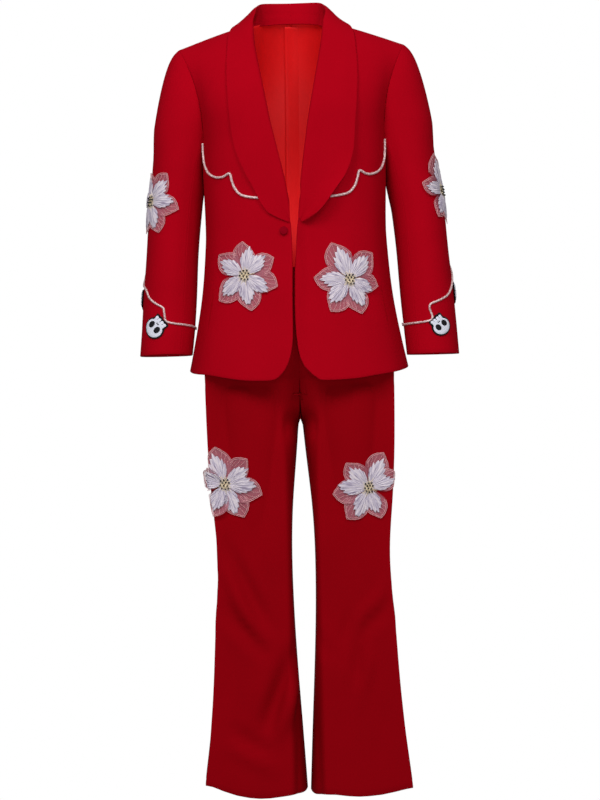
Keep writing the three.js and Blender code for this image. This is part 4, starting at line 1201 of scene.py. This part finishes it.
class Spread:
    """A net of spokes on a cloth, round a middle."""

    def __init__(self, cloth, middle):
        start = cloth.nearest(middle)
        out = cloth.out(start)
        up = (Vector((0, 0, 1)) - out * out.z).normalized()
        right = up.cross(out)
        places, ways = np.empty((SPOKES, STEPS + 1, 3)), np.empty((SPOKES, STEPS + 1, 3))
        for i in range(SPOKES):
            angle = 2 * math.pi * i / SPOKES
            place, normal = start, out
            heading = right * math.cos(angle) + up * math.sin(angle)
            places[i, 0], ways[i, 0] = place, normal
            for k in range(STEPS):
                heading = (heading - normal * heading.dot(normal)).normalized()
                place = cloth.nearest(place + heading * STEP)
                normal = cloth.out(place)
                places[i, k + 1], ways[i, k + 1] = place, normal
        self.places, self.ways = places, ways

    def lay(self, flat, height):
        """Flat points in metres as places at a height off the cloth, and the way out at each."""
        flat, height = np.asarray(flat, float), np.asarray(height, float)
        spoke = (np.arctan2(flat[..., 1], flat[..., 0]) / (2 * math.pi) * SPOKES) % SPOKES
        step = np.clip(np.hypot(flat[..., 0], flat[..., 1]) / STEP, 0, STEPS - 0.001)
        i, k = spoke.astype(int) % SPOKES, step.astype(int)
        a, b = (spoke - spoke.astype(int))[..., None], (step - k)[..., None]
        j = (i + 1) % SPOKES
        found = []
        for net in (self.places, self.ways):
            found.append((1 - a) * ((1 - b) * net[i, k] + b * net[i, k + 1])
                         + a * ((1 - b) * net[j, k] + b * net[j, k + 1]))
        ways = found[1] / np.linalg.norm(found[1], axis=-1)[..., None]
        return found[0] + ways * height[..., None], ways


print("a spread reaches", round(STEP * STEPS / MM), "mm from its middle")

# %% Places of the flowers
LAID_ON = {"front_left": "jacket", "front_right": "jacket", "sleeve_left": "left sleeve",
           "sleeve_right": "right sleeve", "leg_left": "left leg", "leg_right": "right leg"}
# the sleeve flowers sit a little further round to the front than their solids' middles, at these
# degrees round the sleeve and z in mm
ROUND_SLEEVE = {"sleeve_right": (-36, -346), "sleeve_left": (-23, -338)}
# how far the others lie from their solids' middles, as x and z in mm
NUDGE = {"front_right": (2, 2), "front_left": (-1.5, -1), "leg_right": (2, 2.5), "leg_left": (0, -4)}
spreads = {}
for name, cloth in LAID_ON.items():
    middle = hub_of("organza_" + name)
    if name in ROUND_SLEEVE:
        middle = Vector(sleeve_place(1 if name.endswith("left") else -1, *ROUND_SLEEVE[name]))
    x, z = NUDGE.get(name, (0, 0))
    spreads[name] = Spread(under[cloth], middle + Vector((x * MM, 0, z * MM)))
print(len(spreads), "places for flowers")

# %% [markdown]
# ## Materials of the flowers
# Silk organza is a stiff sheer plain weave: the red shows through it, and its own threads give a pale
# pink haze. The petals on it are satin stitch in white viscose, which shines along the thread, with
# lilac and grey threads between. Their darkest lanes are partly those threads and partly painted
# shade, laid where the stitch's relief is low. Cream metal threads and black glass beads make the
# middle. Organza's threads lie 0.3 mm apart and a stitch is as wide, too fine to show, so the weave
# is drawn in spots of 0.7 mm, the satin stitch in lanes of about 3 mm, and single stitches about 1 mm
# wide.


# %% Flower materials
def sheer():
    """Silk organza: sheer, with an open weave that lets more light through in some spots."""
    material, tree, shader = new_material("silk_organza_pink", roughness=0.5, specular=0.3)
    shader.inputs["Base Color"].default_value = linear("C67888")
    place = add_node(tree, "TexCoord").outputs["UV"]
    weave = add_node(tree, "TexNoise", {"Vector": place, "Scale": 90.0, "Detail": 3.0,
                                        "Roughness": 0.7})
    cover = add_node(tree, "MapRange", {"Value": weave.outputs["Fac"], "From Min": 0.3,
                                        "From Max": 0.7, "To Min": 0.20, "To Max": 0.44})
    tree.links.new(cover.outputs["Result"], shader.inputs["Alpha"])
    return material


def satin_stitch(name, dark, between, light, threads):
    """Satin stitch: so many lanes of thread to half a petal's width, each a little its own colour.
    The lanes are darkest where the bump is low, and that is partly painted shade.
    """
    material, tree, shader = new_material(name, roughness=0.5, specular=0.25)
    place = add_node(tree, "TexCoord").outputs["UV"]
    lanes = add_node(tree, "Mapping", {"Vector": place, "Scale": (1.8, threads, 1)})
    shade = add_node(tree, "TexNoise", {"Vector": lanes.outputs[0], "Scale": 1.0, "Detail": 2.0,
                                        "Roughness": 0.75})
    # the dark end falls where the bump is low: partly lilac thread, partly painted shade
    colour = add_node(tree, "ValToRGB", {"Fac": shade.outputs["Fac"]},
                      shades=((0.32, dark), (0.45, between), (0.58, light)))
    bump = add_node(tree, "Bump", {"Height": shade.outputs["Fac"], "Distance": 0.5 * MM,
                                   "Strength": 0.7})
    tree.links.new(colour.outputs["Color"], shader.inputs["Base Color"])
    tree.links.new(bump.outputs["Normal"], shader.inputs["Normal"])
    return material


print("organza and satin stitch ready")


# %% Threads and beads
def thread(name, dark, light, roughness=0.5):
    """A sewn thread: an even colour with small flecks where the ply turns over."""
    material, tree, shader = new_material(name, roughness=roughness, specular=0.3)
    place = add_node(tree, "TexCoord").outputs["Object"]
    ply = add_node(tree, "TexNoise", {"Vector": place, "Scale": 600.0, "Detail": 1.0})
    colour = add_node(tree, "ValToRGB", {"Fac": ply.outputs["Fac"]}, shades=((0, dark), (1, light)))
    tree.links.new(colour.outputs["Color"], shader.inputs["Base Color"])
    return material


def glass_black():
    """A black glass bead: dark, hard and polished, with one small bright spot of light."""
    material, tree, shader = new_material("glass_bead_black", roughness=0.12)
    place = add_node(tree, "TexCoord").outputs["Object"]
    cloud = add_node(tree, "TexNoise", {"Vector": place, "Scale": 300.0})
    colour = add_node(tree, "ValToRGB", {"Fac": cloud.outputs["Fac"]},
                      shades=((0, "070506"), (1, "1E1814")))
    tree.links.new(colour.outputs["Color"], shader.inputs["Base Color"])
    return material


ORGANZA = sheer()
# the darkest lilac grey is partly painted shade between the thread bundles
PETAL_STITCH = satin_stitch("viscose_satin_stitch_white", "86768E", "B6ADC0", "DACFD6", threads=8)
EDGE_THREAD = thread("viscose_thread_pale_pink", "C48086", "E8B4B6")
CREAM_THREAD = thread("metal_thread_cream", "CDB084", "FAEED6", roughness=0.45)
BEAD_GLASS = glass_black()
print("flower materials made")

# %% [markdown]
# ## Petals
# Each flower has six petals, none quite alike. An organza petal is a wide leaf with a pointed tip.
# The embroidery on it is smaller, leans to one side, and ends in four or five teeth where bundles of
# thread stop. Both are drawn by their reach in each direction from the middle, as shares of the
# flower's radius, then filled with a net of points.

# %% The flower's design
# the flower's radius, and the bare spot at its heart, in mm
FLOWER_RADIUS, HEART = 67, 4
# for each petal the direction of its organza tip in degrees, its reach as a share of the radius, and
# how many degrees its embroidery leans
PETALS = {
    "front_right": [(93, 0.94, -14), (30, 0.94, 13), (-20, 0.97, -15), (-79, 1.01, -4),
                    (-139, 1.02, -3), (142, 0.99, 7)],
    "front_left": [(115, 1.13, -6), (46, 1.04, 4), (-12, 0.87, -12), (-72, 1.0, 9), (-123, 1.04, -11),
                   (176, 0.99, 2)],
    "sleeve_right": [(112, 0.95, 5), (54, 0.95, -8), (-14, 0.93, 14), (-68, 0.96, -8), (-122, 1.0, 5),
                     (172, 1.0, -5)],
    "sleeve_left": [(103, 1.08, -4), (163, 0.82, 6), (-118, 0.84, 5), (-72, 0.95, -8), (-18, 1.0, 6),
                    (42, 1.0, -5)],
    "leg_right": [(103, 1.08, 8), (46, 0.97, -13), (-16, 1.08, 14), (-60, 1.06, -10),
                  (-113, 0.95, -3), (163, 0.98, 0)],
    "leg_left": [(65, 1.06, -4), (132, 0.93, 2), (-170, 1.02, -13), (-125, 1.06, 12), (-68, 0.93, -2),
                 (22, 0.92, -6)],
}
# share of the half width, and reach
ORGANZA_EDGE = [(-1, 0.42), (-0.9, 0.61), (-0.78, 0.70), (-0.5, 0.82), (-0.25, 0.91), (0, 1.04),
                (0.12, 1.0), (0.3, 0.95), (0.55, 0.86), (0.8, 0.71), (0.92, 0.59), (1, 0.42)]
STITCH_EDGE = [(-1, 0.32), (-0.93, 0.44), (-0.8, 0.54), (-0.55, 0.67), (-0.3, 0.77), (0, 0.90),
               (0.12, 0.84), (0.3, 0.77), (0.55, 0.68), (0.8, 0.54), (0.93, 0.43), (1, 0.32)]
# half the angle that a petal takes up, in degrees
ORGANZA_HALF, STITCH_HALF = 38, 32
# the petals that stand off the cloth, and how far their tips do in mm
PROUD = {("leg_right", 5): 9, ("leg_right", 4): 5, ("sleeve_left", 0): 3, ("sleeve_left", 1): 3}


def edge_of(table, share):
    """A petal's reach at a share of its half width."""
    return np.interp(share, *zip(*table))


def teeth(share, k, count=8, deep=0.17):
    """Notches in a petal's end, a little different from petal to petal."""
    saw = np.abs(((share * count / 2 + 0.5 + 0.17 * k) % 1) * 2 - 1)
    return 1 - deep * saw * (0.5 + 0.5 * np.sin(3 * share + 2 * k) ** 2)


print(sum(len(petals) for petals in PETALS.values()), "petals in", len(PETALS), "flowers")

# %% [markdown]
# ## From a petal's outline to a net
# A petal is a net of rows along it and lanes across it. Its height off the cloth is a function of the
# share across, from -1 to 1, and of the share along. The organza ripples and lifts at its tip. The
# embroidery is padded: it has a crown down the middle, and a rib for each bundle of threads.


# %% Petal nets
def fan(spread, tip, half, reach, height, rows, lanes):
    """A petal as a net: its reach and height are functions of the share across and along."""
    a, s = np.meshgrid(np.linspace(-1, 1, lanes), np.linspace(0, 1, rows))
    inner = HEART * MM
    far = inner + (reach(a) * FLOWER_RADIUS * MM - inner) * s
    angle = np.radians(tip + a * half)
    flat = np.stack([far * np.cos(angle), far * np.sin(angle)], axis=-1)
    points, _ = spread.lay(flat.reshape(-1, 2), height(a, s).reshape(-1) * MM)
    faces = [(i * lanes + j, (i + 1) * lanes + j, (i + 1) * lanes + j + 1, i * lanes + j + 1)
             for i in range(rows - 1) for j in range(lanes - 1)]
    return points, faces, np.stack([s.reshape(-1), a.reshape(-1)], axis=1)


def with_map(obj, spots):
    """Gives a mesh its own UV map from one spot per point, repeated to its wall's second side."""
    layer = obj.data.uv_layers.new(name="UVMap")
    ends = np.empty(len(obj.data.loops), np.int32)
    obj.data.loops.foreach_get("vertex_index", ends)
    layer.data.foreach_set("uv", np.asarray(spots, np.float32)[ends].ravel())


def flower_petals(name, spread):
    """The organza petals and the embroidered ones, as nets."""
    sheers, stitched = [], []
    for k, (tip, long, lean) in enumerate(PETALS[name]):
        proud = PROUD.get((name, k), 0)

        def sheer_height(a, s):
            ripple, lifted = 0.5 * np.sin(9 * a + k) * s, 1.6 * s**3
            return 0.7 + 0.35 * (k % 3) + ripple + lifted + proud * s**2

        def stitch_height(a, s):
            crown = 1.5 * np.sin(np.pi * np.clip(s, 0.02, 0.9)) * np.sqrt(1 - 0.9 * a * a)
            ribs = 1.1 * np.abs(np.sin(4 * np.pi * a + 0.6 * k)) * s**0.5
            return 2.6 + 0.5 * (k % 3) + crown + ribs + proud * (0.85 * s) ** 2

        sheers.append(fan(spread, tip, ORGANZA_HALF, lambda a: long * edge_of(ORGANZA_EDGE, a),
                          sheer_height, rows=14, lanes=29))
        stitched.append(fan(spread, tip + lean, STITCH_HALF,
                            lambda a: long * edge_of(STITCH_EDGE, a) * teeth(a, k),
                            stitch_height, rows=18, lanes=53))
    return sheers, stitched


print("petal nets ready")

# %% [markdown]
# ## The stitching round the petals
# Two lines of pink stitching run round each organza petal near its edge, and a few loose lines lead
# from them in to the embroidery. Each is a thin tube laid on the petal.


# %% Stitching
# how far in from a petal's edge the two lines run, and the radius of their thread, in mm
INSETS, EDGE_LINE = (0.6, 3.2), 0.55
# where the loose lines lie across a petal, where along it they start and the least that they reach,
# as shares, how far from the edge they end and the radius of their thread, in mm
LOOSE = (-0.62, -0.4, -0.2, 0.05, 0.26, 0.45, 0.64)
LOOSE_START, LOOSE_LEAST, LOOSE_END, LOOSE_LINE = 0.56, 0.62, 3.4, 0.4


def thread_line(spread, far, degrees, height, radius):
    """A thin tube through places given by how far out they are in mm, and in which direction."""
    angle = np.radians(degrees)
    flat = np.stack([far * np.cos(angle), far * np.sin(angle)], axis=1) * MM
    line, ways = spread.lay(flat, height * MM)
    return sweep(line, ways, radius * MM, sides=5)


def edge_threads(name, spread):
    """The stitching round each organza petal of a flower, as one list of points and faces."""
    lines = []
    for k, (tip, long, _) in enumerate(PETALS[name]):
        lifted = 1.6 + PROUD.get((name, k), 0)
        for inset in INSETS:
            a = np.linspace(-0.84, 0.84, 49)
            far = long * edge_of(ORGANZA_EDGE, a) * FLOWER_RADIUS - inset
            degrees = tip + a * (ORGANZA_HALF - 57 * inset / 60)
            rise = 1.1 + 0.35 * (k % 3) + lifted * (far / far.max()) ** 2
            lines.append(thread_line(spread, far, degrees, rise, EDGE_LINE))
        for a in LOOSE:
            end = long * float(edge_of(ORGANZA_EDGE, a)) * FLOWER_RADIUS - LOOSE_END
            if end > LOOSE_LEAST * FLOWER_RADIUS:
                far = np.linspace(LOOSE_START * FLOWER_RADIUS, end, 9)
                degrees = tip + a * ORGANZA_HALF + 1.5 * np.sin(np.linspace(0, 5, 9) + k)
                rise = 1.0 + 0.35 * (k % 3) + lifted * (far / FLOWER_RADIUS / long) ** 2
                lines.append(thread_line(spread, far, degrees, rise, LOOSE_LINE))
    return joined(lines)


print("stitching ready")

# %% [markdown]
# ## The middles, and the flowers put together
# Cream metal threads radiate from a flower's middle, long and short in turn, and a dozen black glass
# beads are sewn over them. One bead is modelled, a small sphere, and copied to each place.

# %% Beads and rays
bpy.ops.mesh.primitive_uv_sphere_add(segments=8, ring_count=6, radius=1.0)
round_bead = bpy.context.object
bead_points = points_of(round_bead.data)
bead_faces = [tuple(p.vertices) for p in round_bead.data.polygons]
bpy.ops.object.delete()
# places of the beads round the flower's middle, in mm
BEADS = [(-7.4, 7.0), (-1.2, 8.4), (5.6, 8.6), (-3.8, 3.2), (2.4, 3.8), (8.4, 3.0), (-8.4, -0.8),
         (-1.4, -2.0), (4.8, -2.8), (-5.4, -7.0), (0.8, -8.8), (7.0, -8.0)]
# a bead's radius and the height of its middle, in mm
BEAD, BEAD_HEIGHT = 1.8, 6.3
# how many rays there are, how many places each is drawn through, and its radius in mm
RAYS, RAY_PLACES, RAY_LINE = 36, 7, 0.5


def rays_of(spread):
    """The cream threads of a flower's middle, highest at their inner ends."""
    rays = []
    for k in range(RAYS):
        far = np.linspace(1.0, 17 + 5 * math.sin(2.3 * k), RAY_PLACES)
        height = 4.6 - 0.9 * np.linspace(0, 1, RAY_PLACES) ** 2
        degrees = np.full(RAY_PLACES, 360 / RAYS * k)
        rays.append(thread_line(spread, far, degrees, height, RAY_LINE))
    return joined(rays)


def beads_of(spread):
    """The beads of a flower's middle."""
    middles, _ = spread.lay(np.array(BEADS) * MM, np.full(len(BEADS), BEAD_HEIGHT * MM))
    return joined([(bead_points * BEAD * MM + middle, bead_faces) for middle in middles])


print(len(BEADS), "beads and", RAYS, "rays to a flower")


# %% Flowers
def petal_mesh(name, nets, wall):
    """One object from the nets of several petals, with a wall and a UV map of its own. Each petal
    reads its own part of the pattern."""
    made = mesh_object(name, *joined([net[:2] for net in nets]))
    with_map(made, np.vstack([net[2] + (k * 1.7, k * 3.1) for k, net in enumerate(nets)]))
    apply_modifier(made, "SOLIDIFY", thickness=wall * MM, offset=-1)
    return made


for name, spread in spreads.items():
    sheers, stitched = flower_petals(name, spread)
    organza = petal_mesh("flower_organza_" + name, sheers, 0.2)
    dress(organza, ORGANZA, "organza", "organza_" + name)
    petals = petal_mesh("flower_petals_" + name, stitched, 1.2)
    dress(petals, PETAL_STITCH, "petal_embroidery", "petals_" + name)
    for part, shape, material in (("stitches", edge_threads(name, spread), EDGE_THREAD),
                                  ("middle", rays_of(spread), CREAM_THREAD),
                                  ("beads", beads_of(spread), BEAD_GLASS)):
        dress(mesh_object(f"flower_{part}_{name}", *shape), material, "petal_embroidery")
    place, side_name = name.split("_")

# %% [markdown]
# ## Skull patches
# Two small skulls are sewn on each sleeve: a black felt patch with a white embroidered skull, big
# dark oval eyes and four teeth. The design is a plain one of simple ovals. It is drawn by its reach
# from the middle, like a petal, and domed. Felt is matted wool with no gloss at all. The stitches are
# polyester thread, which is whiter than the flowers' viscose and shines less.


# %% Skull design
def reach_of(inside, angles, most=30.0):
    """How far a closed shape reaches from its middle in each direction, in mm, to 0.05 mm."""
    far = np.linspace(most, 0, 601)
    reach = []
    for angle in angles:
        points = np.stack([far * math.cos(angle), far * math.sin(angle)], axis=1)
        reach.append(far[np.argmax(inside(points))])
    return np.array(reach)


def in_skull(points):
    """True inside a domed head, a narrower jaw and four round teeth; the crown is up."""
    x, y = points[:, 0], points[:, 1]
    head = (x / 19.5) ** 2 + ((y - 3.5) / 16.5) ** 2 < 1
    jaw = (np.abs(x) < 13.2) & (y < 0) & (y > -14.8)
    tooth = np.zeros(len(x), bool)
    for middle in (-10.6, -3.6, 3.6, 10.6):
        tooth |= (x - middle) ** 2 + (y + 15.6) ** 2 < 3.5**2
    return head | jaw | tooth


SKULL_ANGLES = np.linspace(0, 2 * math.pi, 120, endpoint=False)
SKULL_REACH = reach_of(in_skull, SKULL_ANGLES)
print("the skull is", round(float(SKULL_REACH.max() * 2)), "mm across at most")


# %% Domed discs
def disc(spread, reach, middle, tilt, height, rings=(0.0, 0.3, 0.55, 0.75, 0.88, 0.96, 1.0)):
    """A domed disc drawn by its reach, turned and laid on the cloth; height depends on the ring."""
    angles = np.linspace(0, 2 * math.pi, len(reach), endpoint=False)
    turned = math.radians(tilt)
    flat, heights = [[0.0, 0.0]], [height(0.0)]
    for ring in rings[1:]:
        flat += [[r * ring * math.cos(a), r * ring * math.sin(a)] for r, a in zip(reach, angles)]
        heights += [height(ring)] * len(reach)
    flat = np.array(flat) + middle
    spin = np.array([[math.cos(turned), math.sin(turned)], [-math.sin(turned), math.cos(turned)]])
    points, _ = spread.lay(flat @ spin * MM, np.array(heights) * MM)
    count = len(reach)
    faces = [(0, 1 + i, 1 + (i + 1) % count) for i in range(count)]
    for k in range(len(rings) - 2):
        a, b = 1 + k * count, 1 + (k + 1) * count
        faces += [(a + i, b + i, b + (i + 1) % count, a + (i + 1) % count) for i in range(count)]
    return points, faces


def oval(wide, high, count=28):
    """The reach of an oval in each direction."""
    angles = np.linspace(0, 2 * math.pi, count, endpoint=False)
    return 1 / np.sqrt((np.cos(angles) / wide) ** 2 + (np.sin(angles) / high) ** 2)


def layer(name, shape, wall, material, *nodes):
    """One layer of a patch: a domed shape whose wall goes down from it."""
    made = mesh_object(name, *shape)
    apply_modifier(made, "SOLIDIFY", thickness=wall * MM, offset=-1)
    return dress(made, material, "patch_cloth", *nodes)


print("an oval's reach:", [round(float(r), 1) for r in oval(2, 4, 8)])

# %% Skull patches
SKULL_WHITE = thread("polyester_embroidery_white", "C2C4D2", "E6E8F4", roughness=0.6)
FELT_BLACK = thread("wool_felt_black", "040305", "0A080C", roughness=0.95)
EYE_BLACK = thread("polyester_embroidery_black", "040308", "0B0914", roughness=0.8)
# for each skull: the way its teeth look in degrees from the outer side, its size as a share, and how
# far it lies from its solid's middle as x, y and z in mm
SKULLS = {
    "front_right": (42, 1.0, (0, 0, 4)), "front_left": (52, 0.9, (-3, 0, -6)),
    "outer_right": (8, 1.0, (0, -6, 0)), "outer_left": (8, 1.0, (0, -14, 0)),
}
# how high a patch lies off the cloth, in mm; the outer ones lie over the bulge of the cuff
LIFT = {"front": 0.3, "outer": 1.8}


def dark_marks(spread, share, tilt, lift):
    """A skull's eyes, nostrils and the gaps between its teeth."""
    eye, nostril = oval(5.7, 7.2) * share, oval(1.1, 1.8, 12) * share
    gap = oval(0.45, 2.4, 12) * share
    marks = [disc(spread, eye, (x * share, 0.5), tilt,
                  lambda r: lift + 4.3 - 0.8 * r**4, (0, 0.5, 0.85, 1)) for x in (-8.0, 8.0)]
    marks += [disc(spread, nostril, (x * share, -8.2 * share), tilt,
                   lambda r: lift + 4.1 - 0.5 * r**4, (0, 0.6, 1)) for x in (-1.6, 1.6)]
    marks += [disc(spread, gap, (x * share, -14.8 * share), tilt,
                   lambda r: lift + 3.7 - 0.3 * r**4, (0, 0.6, 1)) for x in (-7.1, 0.0, 7.1)]
    return joined(marks)


for side_name, side in SIDES:
    for place in ("front", "outer"):
        name, lift = f"{place}_{side_name}", LIFT[place]
        way, share, nudge = SKULLS[name]
        spread = Spread(under[f"{side_name} sleeve"], hub_of("skull_" + name) + Vector(nudge) * MM)
        tilt = 90 + way if side < 0 else 270 - way
        reach = SKULL_REACH * share
        # the felt stands out round the skull, and more below it, and its outline is rounded
        border = reach + 2.8 + 1.8 * np.clip(-np.sin(SKULL_ANGLES), 0, 1)
        border = (np.roll(border, 1) + np.roll(border, -1) + border) / 3
        felt = disc(spread, border, (0, 0), tilt, lambda r: lift + 1.9 - 0.5 * r**6)
        base = layer("skull_base_" + name, felt, 1.2, FELT_BLACK, "skull_" + name)
        # the white is domed, with a raised line of stitches near its edge
        white = disc(spread, reach, (0, 0), tilt,
                     lambda r: lift + 3.5 - 1.2 * r**5 + 0.35 * (0.8 < r < 0.95))
        layer("skull_white_" + name, white, 1.2, SKULL_WHITE)
        layer("skull_eyes_" + name, dark_marks(spread, share, tilt, lift), 0.9, EYE_BLACK)
        print(name, "skull laid on")

# %% [markdown]
# ## The covered button
# One button closes the jacket at the break of the lapels. It is a metal shell covered in the
# jacket's own wool, stretched tight and soft at its edge. Its wool is drawn a shade darker than the
# jacket's, as painted shade for the shadow that it sits in. The frame's own disc is copied, its
# doubles are merged, and a wide bevel rounds its rim.

# %% Covered button
button = bpy.data.objects.new("button_covered", frame["nodes"]["button"].data.copy())
bpy.context.collection.objects.link(button)
only(button)
bpy.ops.object.mode_set(mode="EDIT")
bpy.ops.mesh.select_all(action="SELECT")
bpy.ops.mesh.remove_doubles(threshold=0.02 * MM)
bpy.ops.mesh.dissolve_limited(angle_limit=math.radians(5))
bpy.ops.object.mode_set(mode="OBJECT")
apply_modifier(button, "BEVEL", width=1.4 * MM, segments=4, limit_method="ANGLE",
               angle_limit=math.radians(40))
# the button's wool is a darker copy of the jacket's: painted shade
BUTTON_WOOL_PAINTED_SHADE = wool("worsted_wool_red_button_painted_shade", "7E0012", "8C0015")
dress(button, BUTTON_WOOL_PAINTED_SHADE, "covered_button", "button")
print("button of", len(button.data.polygons), "faces")

# %% [markdown]
# ## Stage
# The floor is a large white plane just below the hems. It glows, so that it is plain white, but it
# sends no light on the suit. The world behind it is as white where the camera looks straight at it,
# and only a fifth as bright where it lights the suit.

# %% Stage
bpy.ops.mesh.primitive_plane_add(size=1, location=(0, 0, cad_box[0].z - 0.03))
floor = bpy.context.object
floor.name = "stage_sweep"
bpy.ops.object.mode_set(mode="EDIT")
bpy.ops.transform.resize(value=(30, 30, 1))
bpy.ops.object.mode_set(mode="OBJECT")
paint, tree, shader = new_material("white_sweep", roughness=1.0, specular=0.0)
shader.inputs["Base Color"].default_value = (0, 0, 0, 1)
shader.inputs["Emission Color"].default_value = (1, 1, 1, 1)
shader.inputs["Emission Strength"].default_value = 1.0
floor.data.materials.append(paint)
floor.visible_diffuse = floor.visible_glossy = floor.visible_shadow = False

world = bpy.data.worlds.new("studio")
bpy.context.scene.world = world
world.use_nodes = True
background = world.node_tree.nodes["Background"]
path = add_node(world.node_tree, "LightPath")
strength = add_node(world.node_tree, "MapRange", {"Value": path.outputs["Is Camera Ray"],
                                                  "To Min": 0.2, "To Max": 1.0})
world.node_tree.links.new(strength.outputs[0], background.inputs["Strength"])
background.inputs["Color"].default_value = (1, 1, 1, 1)
print("floor", round(cad_box[0].z - floor.location.z, 3), "m below the hems")

# %% [markdown]
# ## Light
# Two large soft lights stand in front and above, the one on the viewer's left brighter, so the
# jacket gets more than the trousers. A low fill in front keeps the legs from going dark, and one
# behind does the same for the back. A small light inside the jacket stands for what falls in at the
# open neck.


# %% Lights
def soft_light(name, place, target, size, power):
    """A square soft light aimed at a point."""
    bpy.ops.object.light_add(type="AREA", location=place)
    light = bpy.context.object
    light.name = name
    light.data.size = size
    light.data.energy = power
    light.rotation_euler = (Vector(target) - Vector(place)).to_track_quat("-Z", "Y").to_euler()


soft_light("key", (-1.5, -2.7, 2.1), (0, 0, -0.3), 1.5, 76)
soft_light("second", (1.4, -2.7, 2.1), (0, 0, -0.3), 1.5, 52)
soft_light("fill", (0.1, -3.8, -1.0), (0, 0, -0.8), 1.2, 40)
soft_light("behind", (0, 3.6, 0.6), (0, 0, -0.6), 1.6, 80)
soft_light("inside the jacket", (0.0, -0.03, -0.36), (-0.02, 0.14, -0.34), 0.16, 0.17)
